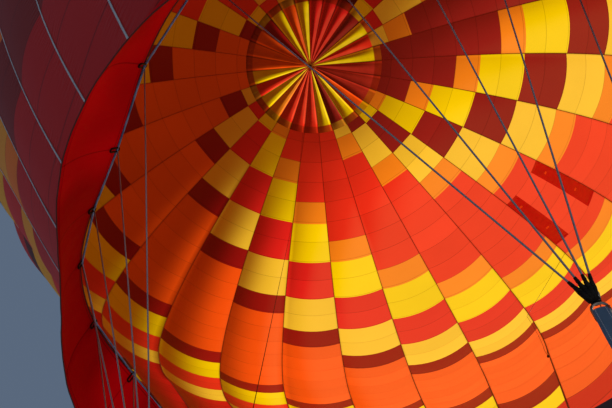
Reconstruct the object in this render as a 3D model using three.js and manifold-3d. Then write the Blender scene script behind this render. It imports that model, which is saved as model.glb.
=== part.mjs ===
// A large passenger hot air balloon: a checkered envelope of 28 gores with a parachute vent at its
// crown, a skirt at its mouth, flying wires gathered to a load frame, twin burners in a gimbal, and a
// woven basket. Millimetres, +Z up, +X along the basket. Heights are measured up from the ground, and
// the whole model is then lowered so that its origin is the middle of the hot air.
import * as THREE from 'three';
import { mergeVertices } from 'three/addons/utils/BufferGeometryUtils.js';
import Module from 'manifold-3d';

const wasm = await Module();
wasm.setup();

// Envelope. The cut of every gore is laid out in equal rows, each ROW long down the meridian.
const ROW = 1300;
const GORES = 28;
const GORE_ANGLE = (2 * Math.PI) / GORES;
const SHELL = 10;
const GAP = 0.3;
const EYE_LEVEL = 200;
const AIR_CENTRE = 23000;
const VENT_ROW = 5.3;
const VENT_LAP_ROW = 5.55;
const VENT_SEAT = 0.6;
const VENT_PLEAT = 120;
const MOUTH_ROW = 34.24;
const BULGE = 0.09;
const BULGE_FULL_AFTER = 8;
const BULGE_FADES_FROM = 30;
const BULGE_AT_MOUTH = 0.25;
// The load tape's line from crown to mouth. Columns: row, radius in rows, height in rows above eye level.
const MERIDIAN = [
  [2.32, 0, 27.02],
  [3.3, 0.98, 27.0],
  [5.3, 2.97, 26.81],
  [7, 4.63, 26.42],
  [9, 6.45, 25.62],
  [11, 8.04, 24.41],
  [12.5, 8.98, 23.25],
  [14, 9.67, 21.92],
  [16, 10.12, 19.98],
  [18, 10.08, 17.98],
  [20, 9.65, 16.03],
  [22, 8.9, 14.18],
  [25, 7.46, 11.55],
  [28, 5.82, 9.04],
  [31, 4.18, 6.52],
  [MOUTH_ROW, 2.408, 3.81],
];
const GORE_ROWS = MERIDIAN.map((m) => m[0]).filter((row) => row >= VENT_ROW);
const GORE_STEPS = 4;

// Crown ring and the tapes that cross the vent.
const TAPE_WIDTH = 45;
const CROWN_BAND = { inner: 150, outer: 270 };
const CROWN_RING = { inner: 175, outer: 225, height: 32 };

// Turning vent: two flaps on the inside of one gore, from TURN_ROWS[0] to its last row.
const TURN_ROWS = [14, 16, 18];
const TURN_GORE = 23;
const FLAP = 4;

// Skirt below the mouth.
const SKIRT_HEM = { radius: 3120, height: 4240 };
const SKIRT_PANELS = 4;

// Flying wires and the links that join them to the load frame.
const WIRE_RADIUS = 6;
const SLEEVE = { radius: 17.5, length: 200 };
const TAB = { width: 40, thick: 12, length: 130, seat: 1.3, foot: 10 };
const GATHER = 24;
const THIMBLE_RADIUS = 22;
const JUNCTION_HEIGHT = 2560;
const KARABINER = { width: 90, length: 150, bar: 15, thick: 16 };
const STRAP = { width: 76, thick: 26, spare: 40, trim: 300 };

// Rig under the envelope, all centred on x = RIG_X, where the wind has carried it.
const RIG_X = 550;
const JUNCTION = { long: { x: 1450, y: 580 }, end: { x: 1850, y: 280 } };
const LUG = { width: 90, thick: 22, height: 80 };
const LUG_AT = { long: { x: 1370, y: 525 }, end: { x: 1715, y: 250 } };
const FRAME = { length: 3480, width: 1100, tube: 50, height: 2050 };
const SOCKET = { side: 90, height: 60 };
const CROSS_BAR = 620;
const PIN_RADIUS = 12;
const PIN_BORE = 12.6;
const PIN_REACH = 30;
const GIMBAL = { length: 1120, width: 800, bar: 40 };
const BURNER_TRAY = { length: 700, width: 660, bar: 50, plank: 150 };
const CAN = { at: 180, outer: 150, inner: 124, height: 460, base: 30, jet: 55, jetHeight: 110 };
const VALVE = { side: 110, drop: 190 };

// Basket.
const BASKET = { length: 3900, width: 1640, corner: 160, wall: 45, height: 1180 };
const SKID = { height: 60, width: 90, length: 3500, at: [-600, 0, 600], batten: 1300 };
const FLOOR = 24;
const RIM = { width: 110, height: 80, round: 28 };
const STEP_HOLE = { width: 190, height: 130, x: [-1150, 1150], z: [360, 740] };
const PARTITION = { x: 560, thick: 40, height: 1000 };
const UPRIGHT = { radius: 36, foot: { x: 1887, y: 757 }, head: { x: 1695, y: 505 } };
const TANK = { radius: 180, height: 960, x: 340, y: 580, foot: 130, collar: 108, dish: 110, neck: 210 };

const COLOURS = {
  red: 0xe0301e,
  orange: 0xf47a1c,
  yellow: 0xf5c218,
  maroon: 0x8f241c,
  crimson: 0xa3101a,
  webbing: 0x3c1a18,
  wire: 0x7d8794,
  strap: 0x5c6676,
  steel: 0xb9bcc0,
  frame: 0x3b3f45,
  wicker: 0xb98a4e,
  leather: 0x6b4326,
  board: 0xa98757,
  aluminium: 0xc9cdd2,
};

const balloon = new THREE.Group();
const model = new THREE.Group();
model.position.z = -AIR_CENTRE;
balloon.add(model);

// Adds one named sub-part with its own material.
function addPart(name, geometry, colour, roughness = 0.7, metalness = 0) {
  const material = new THREE.MeshStandardMaterial({ color: COLOURS[colour], roughness, metalness });
  const mesh = new THREE.Mesh(geometry, material);
  mesh.name = name;
  model.add(mesh);
  return mesh;
}

// Boolean work: a closed geometry to a solid, and a solid back to a geometry.
function toSolid(geometry) {
  const bare = geometry.clone();
  bare.deleteAttribute('normal');
  bare.deleteAttribute('uv');
  const merged = mergeVertices(bare, 1e-3);
  return new wasm.Manifold(
    new wasm.Mesh({
      numProp: 3,
      vertProperties: new Float32Array(merged.attributes.position.array),
      triVerts: new Uint32Array(merged.index.array),
    }),
  );
}

function toGeometry(solid) {
  const mesh = solid.getMesh();
  const geometry = new THREE.BufferGeometry();
  geometry.setAttribute('position', new THREE.BufferAttribute(new Float32Array(mesh.vertProperties), 3));
  geometry.setIndex(new THREE.BufferAttribute(new Uint32Array(mesh.triVerts), 1));
  geometry.computeVertexNormals();
  return geometry;
}

function join(geometries) {
  return geometries.map(toSolid).reduce((whole, piece) => whole.add(piece));
}

// A box from its lowest to its highest corner.
function box(low, high) {
  const size = high.map((value, axis) => value - low[axis]);
  const geometry = new THREE.BoxGeometry(...size);
  return geometry.translate(...high.map((value, axis) => (value + low[axis]) / 2));
}

// A round bar between two points.
function bar(from, to, radius, sides) {
  const along = new THREE.Vector3().subVectors(to, from);
  const geometry = new THREE.CylinderGeometry(radius, radius, along.length(), sides);
  const lengthwise = new THREE.Vector3(0, 1, 0);
  const turn = new THREE.Quaternion().setFromUnitVectors(lengthwise, along.clone().normalize());
  geometry.applyQuaternion(turn);
  return geometry.translate(...along.multiplyScalar(0.5).add(from).toArray());
}

function facedGeometry(points, faces) {
  const places = new THREE.Float32BufferAttribute(points.flatMap((point) => point.toArray()), 3);
  const geometry = new THREE.BufferGeometry();
  geometry.setAttribute('position', places);
  geometry.setIndex(faces);
  geometry.computeVertexNormals();
  return geometry;
}

// A closed shell between two grids of points that run down (rows) and anticlockwise (columns).
function shell(outer, inner) {
  const rows = outer.length;
  const columns = outer[0].length;
  const points = [...outer.flat(), ...inner.flat()];
  const out = (i, j) => i * columns + j;
  const into = (i, j) => rows * columns + i * columns + j;
  const faces = [];
  const quad = (a, b, c, d) => faces.push(a, b, c, a, c, d);
  for (let i = 0; i < rows - 1; i += 1) {
    for (let j = 0; j < columns - 1; j += 1) {
      quad(out(i, j), out(i + 1, j), out(i + 1, j + 1), out(i, j + 1));
      quad(into(i, j), into(i, j + 1), into(i + 1, j + 1), into(i + 1, j));
    }
    quad(out(i, 0), into(i, 0), into(i + 1, 0), out(i + 1, 0));
    quad(out(i, columns - 1), out(i + 1, columns - 1), into(i + 1, columns - 1), into(i, columns - 1));
  }
  for (let j = 0; j < columns - 1; j += 1) {
    quad(out(0, j), out(0, j + 1), into(0, j + 1), into(0, j));
    quad(out(rows - 1, j), into(rows - 1, j), into(rows - 1, j + 1), out(rows - 1, j + 1));
  }
  return facedGeometry(points, faces);
}

// The meridian at a row: radius and height in millimetres.
function meridian(row) {
  const last = MERIDIAN.length - 2;
  const found = MERIDIAN.findIndex((m) => m[0] > row) - 1;
  const index = found < 0 ? last : found;
  const [row0, r0, z0] = MERIDIAN[index];
  const [row1, r1, z1] = MERIDIAN[index + 1];
  const t = (row - row0) / (row1 - row0);
  return { radius: ROW * (r0 + (r1 - r0) * t), height: EYE_LEVEL + ROW * (z0 + (z1 - z0) * t) };
}

// The outward normal: across the chord that runs half a row to each side.
function meridianNormal(row) {
  const before = meridian(Math.max(row - 0.5, MERIDIAN[0][0]));
  const after = meridian(Math.min(row + 0.5, MOUTH_ROW));
  const along = new THREE.Vector2(after.radius - before.radius, after.height - before.height).normalize();
  return new THREE.Vector2(-along.y, along.x);
}

// How far a gore billows out between its two tapes, as a share of its width.
function bulgeAt(row) {
  const grows = THREE.MathUtils.smoothstep(row, VENT_ROW, VENT_ROW + BULGE_FULL_AFTER);
  const fades = THREE.MathUtils.smoothstep(row, BULGE_FADES_FROM, MOUTH_ROW);
  return BULGE * grows * (1 - (1 - BULGE_AT_MOUTH) * fades);
}

// Gore k lies between seams k and k + 1; gore 4 faces +X.
function seamAzimuth(seam) {
  return (seam - 4.5) * GORE_ANGLE;
}

// A point of the envelope: across is 0 at the gore's first tape and 1 at its second, inset is the depth
// below the outer face, and aside shifts the point along the gore's width to leave the seam gap.
function skin(gore, across, row, inset, aside = 0) {
  const { radius, height } = meridian(row);
  const normal = meridianNormal(row);
  const half = GORE_ANGLE / 2;
  const turn = (across - 0.5) * GORE_ANGLE;
  const chord = (radius * Math.cos(half)) / Math.cos(turn);
  const swell = 2 * radius * Math.sin(half) * bulgeAt(row) * (1 - (2 * across - 1) ** 2);
  const outward = chord + (swell - inset) * normal.x;
  const azimuth = seamAzimuth(gore + 0.5) + turn;
  return new THREE.Vector3(
    outward * Math.cos(azimuth) - aside * Math.sin(azimuth),
    outward * Math.sin(azimuth) + aside * Math.cos(azimuth),
    height + (swell - inset) * normal.y,
  );
}

// Points across gores first to last at one row, with the seam gap left at both ends.
function rowOfPoints(first, last, row, inset, from = 0, to = 1) {
  const points = [];
  for (let gore = first; gore <= last; gore += 1) {
    const start = gore === first ? Math.round(from * GORE_STEPS) : 1;
    const end = gore === last ? Math.round(to * GORE_STEPS) : GORE_STEPS;
    for (let step = start; step <= end; step += 1) {
      const isFirst = gore === first && step === start;
      const isLast = gore === last && step === end;
      const aside = isFirst ? GAP / 2 : isLast ? -GAP / 2 : 0;
      points.push(skin(gore, step / GORE_STEPS, row, inset, aside));
    }
  }
  return points;
}

function skinPanel(first, last, rows, inset, thick, from, to) {
  const layer = (depth) => rows.map((row) => rowOfPoints(first, last, row, depth, from, to));
  return shell(layer(inset), layer(inset + thick));
}

// Gores, in pairs joined at the load tape between them.
const PAIR_COLOURS = ['orange', 'orange', 'red', 'maroon', 'orange', 'orange', 'crimson'];
for (let pair = 0; pair < GORES / 2; pair += 1) {
  const geometry = skinPanel(2 * pair, 2 * pair + 1, GORE_ROWS, 0, SHELL);
  addPart(`envelope_gores_${pair + 1}`, geometry, PAIR_COLOURS[pair % PAIR_COLOURS.length], 0.75);
}

// Turning vent flaps lie against the inside of their gore, one along each tape.
for (const [side, from, to] of [['left', 0, 0.25], ['right', 0.75, 1]]) {
  const geometry = skinPanel(TURN_GORE, TURN_GORE, TURN_ROWS, SHELL + GAP, FLAP, from, to);
  addPart(`turning_vent_${side}`, geometry, 'crimson', 0.75);
}

// Load tapes across the vent, all sewn to one band round the crown ring.
function crownTape(seam) {
  const rows = MERIDIAN.map((m) => m[0]).filter((row) => row > MERIDIAN[0][0] && row < VENT_ROW);
  const azimuth = seamAzimuth(seam);
  const radial = new THREE.Vector3(Math.cos(azimuth), Math.sin(azimuth), 0);
  const sideways = new THREE.Vector3(-Math.sin(azimuth), Math.cos(azimuth), 0);
  const crown = meridian(MERIDIAN[0][0]).height;
  const edge = meridian(VENT_ROW);
  const lip = SHELL * meridianNormal(VENT_ROW).x + (TAPE_WIDTH / 2) * Math.tan(GORE_ANGLE / 2);
  const stations = [
    { radius: (CROWN_BAND.inner + CROWN_BAND.outer) / 2, height: crown },
    ...rows.map(meridian),
    { radius: edge.radius - GAP - lip, height: edge.height },
  ];
  const layer = (depth) => stations.map(({ radius, height }) => [-0.5, 0.5].map((side) => (
    radial.clone().multiplyScalar(radius).addScaledVector(sideways, side * TAPE_WIDTH).setZ(height - depth)
  )));
  return shell(layer(0), layer(SHELL));
}

function lathe(profile, sides) {
  const geometry = new THREE.LatheGeometry(profile.map(([r, z]) => new THREE.Vector2(r, z)), sides);
  return geometry.rotateX(Math.PI / 2);
}

const CROWN = meridian(MERIDIAN[0][0]).height;
const band = lathe([
  [CROWN_BAND.inner, CROWN - SHELL],
  [CROWN_BAND.outer, CROWN - SHELL],
  [CROWN_BAND.outer, CROWN],
  [CROWN_BAND.inner, CROWN],
  [CROWN_BAND.inner, CROWN - SHELL],
], GORES);
const tapes = Array.from({ length: GORES }, (_, seam) => crownTape(seam));
addPart('crown_tapes', toGeometry(join([band, ...tapes])), 'webbing', 0.9);

const crownRing = lathe([
  [CROWN_RING.inner, CROWN + GAP],
  [CROWN_RING.outer, CROWN + GAP],
  [CROWN_RING.outer, CROWN + CROWN_RING.height],
  [CROWN_RING.inner, CROWN + CROWN_RING.height],
  [CROWN_RING.inner, CROWN + GAP],
], GORES);
addPart('crown_ring', toGeometry(toSolid(crownRing)), 'aluminium', 0.35, 0.9);

// Parachute vent: a shallow dome of the same 28 gores, pressed up under the tapes and the vent's edge.
// Each gore billows up between its seams, so the seams hang lower halfway out.
const VENT_COLUMNS = 2 * GORES;
function ventPoint(row, column, depth) {
  const { radius, height } = meridian(row);
  const atSeam = column % 2 === 0;
  const reach = atSeam ? radius : radius * Math.cos(GORE_ANGLE / 2);
  const azimuth = seamAzimuth(column / 2);
  const out = (row - MERIDIAN[0][0]) / (VENT_ROW - MERIDIAN[0][0]);
  const pleat = atSeam ? VENT_PLEAT * Math.max(Math.sin(Math.PI * out), 0) : 0;
  return new THREE.Vector3(reach * Math.cos(azimuth), reach * Math.sin(azimuth), height - depth - pleat);
}

function parachute() {
  const rows = [2.9, 3.3, 4.3, VENT_ROW, VENT_LAP_ROW];
  const top = SHELL + VENT_SEAT;
  const layers = [top, top + SHELL];
  const centre = layers.map((depth) => new THREE.Vector3(0, 0, CROWN - depth));
  const points = [...centre];
  layers.forEach((depth) => rows.forEach((row) => {
    for (let column = 0; column < VENT_COLUMNS; column += 1) points.push(ventPoint(row, column, depth));
  }));
  const firstOf = (layer, ring) => 2 + (layer * rows.length + ring) * VENT_COLUMNS;
  const at = (layer, ring, column) => firstOf(layer, ring) + (column % VENT_COLUMNS);
  const faces = [];
  for (let column = 0; column < VENT_COLUMNS; column += 1) {
    faces.push(0, at(0, 0, column), at(0, 0, column + 1));
    faces.push(1, at(1, 0, column + 1), at(1, 0, column));
    for (let ring = 0; ring < rows.length - 1; ring += 1) {
      const [a, b] = [at(0, ring, column), at(0, ring + 1, column)];
      const [c, d] = [at(0, ring + 1, column + 1), at(0, ring, column + 1)];
      faces.push(a, b, c, a, c, d);
      const [e, f] = [at(1, ring, column), at(1, ring + 1, column)];
      const [g, h] = [at(1, ring + 1, column + 1), at(1, ring, column + 1)];
      faces.push(e, g, f, e, h, g);
    }
    const last = rows.length - 1;
    const [a, b] = [at(0, last, column), at(1, last, column)];
    const [c, d] = [at(1, last, column + 1), at(0, last, column + 1)];
    faces.push(a, b, c, a, c, d);
  }
  return facedGeometry(points, faces);
}
addPart('parachute_vent', parachute(), 'yellow', 0.75);

// Skirt: a near-cylindrical band of flame-proof cloth hung from the mouth, in four panels.
const MOUTH = meridian(MOUTH_ROW);
function skirtPanel(first, count) {
  const ring = (radius, height) => Array.from({ length: count + 1 }, (_, step) => {
    const azimuth = seamAzimuth(first + step);
    const aside = step === 0 ? GAP / 2 : step === count ? -GAP / 2 : 0;
    return new THREE.Vector3(
      radius * Math.cos(azimuth) - aside * Math.sin(azimuth),
      radius * Math.sin(azimuth) + aside * Math.cos(azimuth),
      height,
    );
  });
  const layer = (depth) => [
    ring(MOUTH.radius - depth, MOUTH.height - GAP),
    ring(SKIRT_HEM.radius - depth, SKIRT_HEM.height),
  ];
  return shell(layer(0), layer(SHELL));
}
const GORES_PER_PANEL = GORES / SKIRT_PANELS;
for (let panel = 0; panel < SKIRT_PANELS; panel += 1) {
  addPart(`skirt_panel_${panel + 1}`, skirtPanel(panel * GORES_PER_PANEL, GORES_PER_PANEL), 'crimson', 0.8);
}

// Flying wires. Columns: bundle name, side along x, side along y, junction, first seam, last seam.
const BUNDLES = [
  ['end_1', 1, 1, 'end', 5, 7],
  ['long_1', 1, 1, 'long', 8, 11],
  ['long_2', -1, 1, 'long', 12, 15],
  ['end_2', -1, 1, 'end', 16, 18],
  ['end_3', -1, -1, 'end', 19, 21],
  ['long_3', -1, -1, 'long', 22, 25],
  ['long_4', 1, -1, 'long', 26, 29],
  ['end_4', 1, -1, 'end', 30, 32],
];
const rigPoint = ({ x, y }, sideX, sideY, z) => new THREE.Vector3(RIG_X + sideX * x, sideY * y, z);

// A sewn loop on the inside of the mouth, flat against one load tape, with the wire's top end at its foot.
function tapeTab(azimuth) {
  const normal = meridianNormal(MOUTH_ROW);
  const slope = Math.atan2(-normal.y, normal.x);
  const geometry = box([-TAB.thick, -TAB.width / 2, TAB.foot], [0, TAB.width / 2, TAB.foot + TAB.length]);
  geometry.translate(-SHELL - TAB.seat, 0, 0);
  geometry.rotateY(slope);
  geometry.translate(MOUTH.radius, 0, MOUTH.height);
  return geometry.rotateZ(azimuth);
}

function wireTop(azimuth) {
  const normal = meridianNormal(MOUTH_ROW);
  const inset = SHELL + TAB.seat + TAB.thick;
  const up = 2 * TAB.foot;
  const radius = MOUTH.radius - inset * normal.x - up * normal.y;
  const height = MOUTH.height - inset * normal.y + up * normal.x;
  return new THREE.Vector3(radius * Math.cos(azimuth), radius * Math.sin(azimuth), height);
}

// The wires of one bundle meet in a thimble whose flat foot sits on the link's karabiner.
function wireBundle(junction, lugTop, firstSeam, lastSeam) {
  const down = new THREE.Vector3().subVectors(lugTop, junction).setLength(GATHER);
  const pieces = [bar(junction.clone().sub(down), junction.clone().add(down), THIMBLE_RADIUS, 10)];
  for (let seam = firstSeam; seam <= lastSeam; seam += 1) {
    const azimuth = seamAzimuth(seam);
    const top = wireTop(azimuth);
    const sleeveEnd = junction.clone().lerp(top, SLEEVE.length / junction.distanceTo(top));
    pieces.push(bar(junction, top, WIRE_RADIUS, 6));
    pieces.push(bar(junction, sleeveEnd, SLEEVE.radius, 6));
    pieces.push(tapeTab(azimuth));
  }
  return toGeometry(join(pieces));
}

// A karabiner under the gathered wires and a padded strap down to the frame's lug.
function suspensionLink(junction, lugTop) {
  const { width, length, bar: thick } = KARABINER;
  const ring = new THREE.Shape();
  const end = width / 2;
  ring.absarc(0, -end, end, 0, Math.PI, false);
  ring.absarc(0, -length + end, end, Math.PI, 2 * Math.PI, false);
  const eye = new THREE.Path();
  eye.absarc(0, -end, end - thick, 0, Math.PI, false);
  eye.absarc(0, -length + end, end - thick, Math.PI, 2 * Math.PI, false);
  ring.holes.push(eye);
  const karabiner = new THREE.ExtrudeGeometry(ring, {
    depth: KARABINER.thick,
    bevelEnabled: false,
    curveSegments: 5,
  });
  karabiner.translate(0, 0, -KARABINER.thick / 2);
  const reach = junction.distanceTo(lugTop) - GATHER + STRAP.spare;
  const strap = box(
    [-STRAP.width / 2, -reach, -STRAP.thick / 2],
    [STRAP.width / 2, -length + thick, STRAP.thick / 2],
  );
  const along = new THREE.Vector3().subVectors(junction, lugTop).normalize();
  const turn = new THREE.Quaternion().setFromUnitVectors(new THREE.Vector3(0, 1, 0), along);
  const start = junction.clone().addScaledVector(along, -GATHER - GAP);
  const placed = [karabiner, strap].map((piece) => (
    piece.applyQuaternion(turn).translate(...start.toArray())
  ));
  const trim = STRAP.trim;
  const below = box(
    [lugTop.x - trim, lugTop.y - trim, lugTop.z - trim],
    [lugTop.x + trim, lugTop.y + trim, lugTop.z + GAP],
  );
  return toGeometry(join(placed).subtract(toSolid(below)));
}

const LUG_TOP = FRAME.height + FRAME.tube + LUG.height;
for (const [name, sideX, sideY, kind, firstSeam, lastSeam] of BUNDLES) {
  const junction = rigPoint(JUNCTION[kind], sideX, sideY, JUNCTION_HEIGHT);
  const lugTop = rigPoint(LUG_AT[kind], sideX, sideY, LUG_TOP);
  addPart(`flying_wires_${name}`, wireBundle(junction, lugTop, firstSeam, lastSeam), 'wire', 0.5, 0.3);
  addPart(`suspension_link_${name}`, suspensionLink(junction, lugTop), 'strap', 0.8);
}

// Load frame: a rectangle of tube with two cross bars, eight lugs on top and four sockets below.
function rectangleBar(length, width, tube) {
  const shape = new THREE.Shape();
  const [x, y] = [length / 2, width / 2];
  shape.moveTo(-x, -y).lineTo(x, -y).lineTo(x, y).lineTo(-x, y).closePath();
  const hole = new THREE.Path();
  const [u, v] = [x - tube, y - tube];
  hole.moveTo(-u, -v).lineTo(-u, v).lineTo(u, v).lineTo(u, -v).closePath();
  shape.holes.push(hole);
  return new THREE.ExtrudeGeometry(shape, { depth: tube, bevelEnabled: false });
}

const AXIS_HEIGHT = FRAME.height + FRAME.tube / 2;
function loadFrame() {
  const pieces = [rectangleBar(FRAME.length, FRAME.width, FRAME.tube).translate(0, 0, FRAME.height)];
  const inside = FRAME.width / 2 - FRAME.tube / 2;
  const half = FRAME.tube / 2;
  for (const side of [-1, 1]) {
    const x = side * CROSS_BAR;
    pieces.push(box([x - half, -inside, FRAME.height], [x + half, inside, FRAME.height + FRAME.tube]));
    for (const other of [-1, 1]) {
      const long = { x: side * LUG_AT.long.x, y: other * LUG_AT.long.y };
      const end = { x: side * LUG_AT.end.x, y: other * LUG_AT.end.y };
      const foot = FRAME.height + half;
      const [w, t] = [LUG.width / 2, LUG.thick / 2];
      pieces.push(box([long.x - w, long.y - t, foot], [long.x + w, long.y + t, LUG_TOP]));
      pieces.push(box([end.x - t, end.y - w, foot], [end.x + t, end.y + w, LUG_TOP]));
      const x0 = side * UPRIGHT.head.x;
      const y0 = other * UPRIGHT.head.y;
      const s = SOCKET.side / 2;
      pieces.push(box([x0 - s, y0 - s, FRAME.height - SOCKET.height], [x0 + s, y0 + s, foot]));
    }
  }
  const bore = bar(
    new THREE.Vector3(-FRAME.length / 2 + FRAME.tube * 2, 0, AXIS_HEIGHT),
    new THREE.Vector3(FRAME.length / 2 - FRAME.tube * 2, 0, AXIS_HEIGHT),
    PIN_BORE,
    24,
  );
  return toGeometry(join(pieces).subtract(toSolid(bore)).translate([RIG_X, 0, 0]));
}
addPart('load_frame', loadFrame(), 'frame', 0.5, 0.6);

// Gimbal frame, turning about +X in the cross bars, and the burner tray, turning about +Y inside it.
function gimbalFrame() {
  const half = GIMBAL.bar / 2;
  const frame = rectangleBar(GIMBAL.length, GIMBAL.width, GIMBAL.bar).translate(0, 0, AXIS_HEIGHT - half);
  const tip = CROSS_BAR - FRAME.tube / 2 + PIN_REACH;
  const pins = [-1, 1].map((side) => bar(
    new THREE.Vector3(side * (GIMBAL.length / 2 - half), 0, AXIS_HEIGHT),
    new THREE.Vector3(side * tip, 0, AXIS_HEIGHT),
    PIN_RADIUS,
    24,
  ));
  const bore = bar(
    new THREE.Vector3(0, -GIMBAL.width, AXIS_HEIGHT),
    new THREE.Vector3(0, GIMBAL.width, AXIS_HEIGHT),
    PIN_BORE,
    24,
  );
  return toGeometry(join([frame, ...pins]).subtract(toSolid(bore)).translate([RIG_X, 0, 0]));
}
addPart('gimbal_frame', gimbalFrame(), 'frame', 0.5, 0.6);

function burnerTray() {
  const half = BURNER_TRAY.bar / 2;
  const { length, width } = BURNER_TRAY;
  const low = AXIS_HEIGHT - half;
  const high = AXIS_HEIGHT + half;
  const pieces = [rectangleBar(length, width, BURNER_TRAY.bar).translate(0, 0, low)];
  const plank = BURNER_TRAY.plank / 2;
  pieces.push(box([-length / 2 + half, -plank, low], [length / 2 - half, plank, high]));
  for (const side of [-1, 1]) {
    const x = side * CAN.at;
    const s = VALVE.side / 2;
    pieces.push(box([x - s, -s, low - VALVE.drop], [x + s, s, low + half]));
    pieces.push(bar(
      new THREE.Vector3(0, side * (width / 2 - half), AXIS_HEIGHT),
      new THREE.Vector3(0, side * (GIMBAL.width / 2 - GIMBAL.bar + PIN_REACH), AXIS_HEIGHT),
      PIN_RADIUS,
      24,
    ));
  }
  return toGeometry(join(pieces).translate([RIG_X, 0, 0]));
}
addPart('burner_tray', burnerTray(), 'steel', 0.4, 0.8);

const CAN_FOOT = AXIS_HEIGHT + BURNER_TRAY.bar / 2 + GAP;
for (const [name, side] of [['left', -1], ['right', 1]]) {
  const can = lathe([
    [0, CAN_FOOT],
    [CAN.outer, CAN_FOOT],
    [CAN.outer, CAN_FOOT + CAN.height],
    [CAN.inner, CAN_FOOT + CAN.height],
    [CAN.inner, CAN_FOOT + CAN.base],
    [CAN.jet, CAN_FOOT + CAN.base],
    [CAN.jet, CAN_FOOT + CAN.jetHeight],
    [0, CAN_FOOT + CAN.jetHeight],
  ], 20);
  const placed = toSolid(can).translate([RIG_X + side * CAN.at, 0, 0]);
  addPart(`burner_can_${name}`, toGeometry(placed), 'steel', 0.3, 0.9);
}

// Basket: an outline with rounded corners, shared by the wall, the floor and the padded rim.
function roundedOutline(Path, length, width, corner) {
  const path = new Path();
  const [x, y] = [length / 2 - corner, width / 2 - corner];
  path.absarc(x, y, corner, 0, Math.PI / 2, false);
  path.absarc(-x, y, corner, Math.PI / 2, Math.PI, false);
  path.absarc(-x, -y, corner, Math.PI, 1.5 * Math.PI, false);
  path.absarc(x, -y, corner, 1.5 * Math.PI, 2 * Math.PI, false);
  path.closePath();
  return path;
}

function basketRing(grow, wall, depth, bevel = 0) {
  const outline = (Path, spread) => roundedOutline(
    Path,
    BASKET.length + 2 * spread,
    BASKET.width + 2 * spread,
    BASKET.corner + spread,
  );
  const shape = outline(THREE.Shape, grow);
  shape.holes.push(outline(THREE.Path, grow - wall));
  return new THREE.ExtrudeGeometry(shape, {
    depth,
    curveSegments: 3,
    bevelEnabled: bevel > 0,
    bevelThickness: bevel,
    bevelSize: bevel,
    bevelOffset: -bevel,
    bevelSegments: 1,
  });
}

const FLOOR_TOP = SKID.height + FLOOR + GAP;
const WALL_FOOT = FLOOR_TOP + GAP;
function basketWall() {
  let wall = toSolid(basketRing(0, BASKET.wall, BASKET.height - WALL_FOOT).translate(0, 0, WALL_FOOT));
  for (const x of STEP_HOLE.x) {
    for (const z of STEP_HOLE.z) {
      const hole = box(
        [x - STEP_HOLE.width / 2, -BASKET.width, z - STEP_HOLE.height / 2],
        [x + STEP_HOLE.width / 2, BASKET.width, z + STEP_HOLE.height / 2],
      );
      wall = wall.subtract(toSolid(hole));
    }
  }
  return toGeometry(wall.translate([RIG_X, 0, 0]));
}
addPart('basket_wall', basketWall(), 'wicker', 0.85);

const floorShape = roundedOutline(THREE.Shape, BASKET.length, BASKET.width, BASKET.corner);
const floorBoard = new THREE.ExtrudeGeometry(floorShape, {
  depth: FLOOR,
  bevelEnabled: false,
  curveSegments: 3,
});
addPart('basket_floor', floorBoard.translate(RIG_X, 0, SKID.height + GAP), 'board', 0.8);

const rimGrow = (RIM.width - BASKET.wall) / 2;
const rim = basketRing(rimGrow, RIM.width, RIM.height - 2 * RIM.round, RIM.round);
addPart('basket_rim', rim.translate(RIG_X, 0, BASKET.height + GAP + RIM.round), 'leather', 0.6);

function partition(side) {
  const across = BASKET.width / 2 - BASKET.wall - GAP;
  const wallX = side * (BASKET.length / 2 - BASKET.wall - GAP);
  const half = PARTITION.thick / 2;
  const x = side * PARTITION.x;
  const top = PARTITION.height;
  const crosswise = box([x - half, -across, WALL_FOOT], [x + half, across, top]);
  const lengthwise = box([Math.min(x, wallX), -half, WALL_FOOT], [Math.max(x, wallX), half, top]);
  return toGeometry(join([crosswise, lengthwise]).translate([RIG_X, 0, 0]));
}
addPart('partition_left', partition(-1), 'wicker', 0.85);
addPart('partition_right', partition(1), 'wicker', 0.85);

// Runners under the floor, tied by two battens.
function skids() {
  const pieces = SKID.at.map((y) => box(
    [-SKID.length / 2, y - SKID.width / 2, 0],
    [SKID.length / 2, y + SKID.width / 2, SKID.height],
  ));
  const reach = SKID.at[SKID.at.length - 1];
  for (const side of [-1, 1]) {
    const x = side * SKID.batten;
    const half = SKID.width / 2;
    pieces.push(box([x - half, -reach, SKID.height / 2], [x + half, reach, SKID.height]));
  }
  return toGeometry(join(pieces).translate([RIG_X, 0, 0]));
}
addPart('skids', skids(), 'board', 0.85);

// Padded uprights lean in from the basket's rim to the frame's sockets.
const SIDES = [[1, 1], [-1, 1], [-1, -1], [1, -1]];
SIDES.forEach(([sideX, sideY], index) => {
  const foot = rigPoint(UPRIGHT.foot, sideX, sideY, BASKET.height + RIM.height + 2 * GAP);
  const head = rigPoint(UPRIGHT.head, sideX, sideY, FRAME.height - SOCKET.height - GAP);
  const rise = head.z - foot.z;
  const { radius } = UPRIGHT;
  const rod = new THREE.CylinderGeometry(radius, radius, rise, 12).rotateX(Math.PI / 2);
  rod.applyMatrix4(
    new THREE.Matrix4().makeShear(0, 0, 0, 0, (head.x - foot.x) / rise, (head.y - foot.y) / rise),
  );
  rod.translate((foot.x + head.x) / 2, (foot.y + head.y) / 2, (foot.z + head.z) / 2);
  addPart(`upright_${index + 1}`, rod, 'leather', 0.7);
});

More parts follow.
